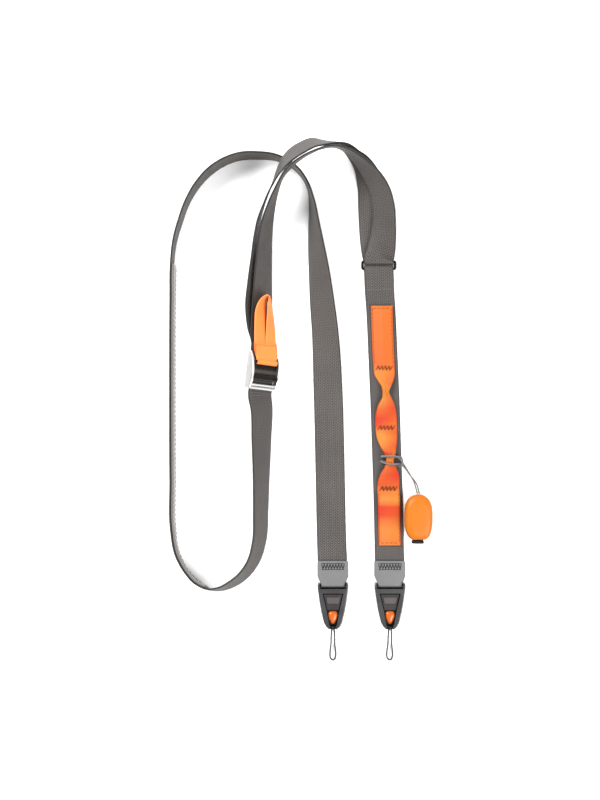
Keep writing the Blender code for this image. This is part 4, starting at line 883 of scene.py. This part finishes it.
# Carried-over hard pieces take detailed materials.
looks = {
    "slide_ring": blackMetalLook,
    "buckle_frame": steelLook,
    "buckle_cam": blackMetalLook,
    "cam_pin": steelLook,
    "pod_cap": blackPlasticLook,
}
for side in connector["x"]:
    looks[side + "_housing"] = housingLook
    looks[side + "_latch"] = latchLook
    looks[side + "_sleeve"] = blackPlasticLook
for name, look in looks.items():
    for held in nodes[name].material_slots:
        held.material = look

# A painted highlight in a band across the cam's lever, standing for its curved face catching the light: share = 1 - |d|
# / half, d along the strap from the pin.
camHighlight = {"past": 0.0040, "half": 0.0021, "share": 0.8}
camLook = blackMetalLook.copy()
camLook.name = "cam_painted_highlight"
for held in nodes["buckle_cam"].material_slots:
    held.material = camLook
pinAt = inBuckle(0, -0.0030, 0.0031)
intoCam = np.array(nodes["buckle_cam"].matrix_world.inverted())
localAt = intoCam[:3, :3] @ (pinAt + camHighlight["past"] * buckleV) + intoCam[:3, 3]
localV = intoCam[:3, :3] @ buckleV
tree = camLook.node_tree
shader = tree.nodes["Principled BSDF"]
place = put(tree, "ShaderNodeTexCoord").outputs["Object"]
dot = put(tree, "ShaderNodeVectorMath", {0: place, 1: tuple(map(float, localV))}, operation="DOT_PRODUCT")
away = calc(tree, "ABSOLUTE", calc(tree, "SUBTRACT", dot.outputs["Value"], float(localAt @ localV)))
highlightShare = remap(tree, away, camHighlight["half"], 0.0, 0.0, camHighlight["share"])
before = shader.inputs["Base Color"].links[0].from_socket
# The painted highlight's colour, a pale warm grey.
tree.links.new(blendColor(tree, highlightShare, before, rgb(118, 104, 96)), shader.inputs["Base Color"])

# The floor and the light: a pale table, a broad key from the upper left, a fill from above and a white surround.
floorData = bpy.data.meshes.new("floor")
reach = 3.0
corners = [(-reach, -reach, 0), (reach, -reach, 0), (reach, reach, 0), (-reach, reach, 0)]
floorData.from_pydata(corners, [], [(0, 1, 2, 3)])
floor = bpy.data.objects.new("floor", floorData)
bpy.context.scene.collection.objects.link(floor)
floorLook, tree, shader = newLook("pale_table", 0.9)
table = noise(tree, put(tree, "ShaderNodeTexCoord").outputs["Object"], 60.0, 3.0)
finishLook(tree, shader, blendColor(tree, table, (0.94, 0.94, 0.94, 1.0), (0.96, 0.96, 0.96, 1.0)))
floorData.materials.append(floorLook)


# A round area light at a place, turned about X and then Z so that its -Z looks at the point given.
def areaLight(name, at, toward, size, power):
    data = bpy.data.lights.new(name, "AREA")
    data.shape = "DISK"
    data.size = size
    data.energy = power
    made = bpy.data.objects.new(name, data)
    made.location = at
    direction = unit(np.array(toward) - np.array(at))
    yaw = math.atan2(direction[1], direction[0])
    pitch = math.acos(-direction[2])
    made.rotation_euler = (pitch, 0.0, yaw - math.pi / 2)
    bpy.context.scene.collection.objects.link(made)


areaLight("key", (-0.80, 0.70, 1.0), (0.0, 0.0, 0.0), 0.8, 40.0)
areaLight("fill", (0.80, -0.70, 1.1), (0.0, 0.0, 0.0), 1.0, 30.0)
world = bpy.data.worlds.new("surround")
world.use_nodes = True
world.node_tree.nodes["Background"].inputs[0].default_value = (1.0, 1.0, 1.0, 1.0)
world.node_tree.nodes["Background"].inputs[1].default_value = 0.6
bpy.context.scene.world = world
bpy.context.scene.view_settings.view_transform = "Standard"
print("stage: light set")

bpy.context.view_layer.update()
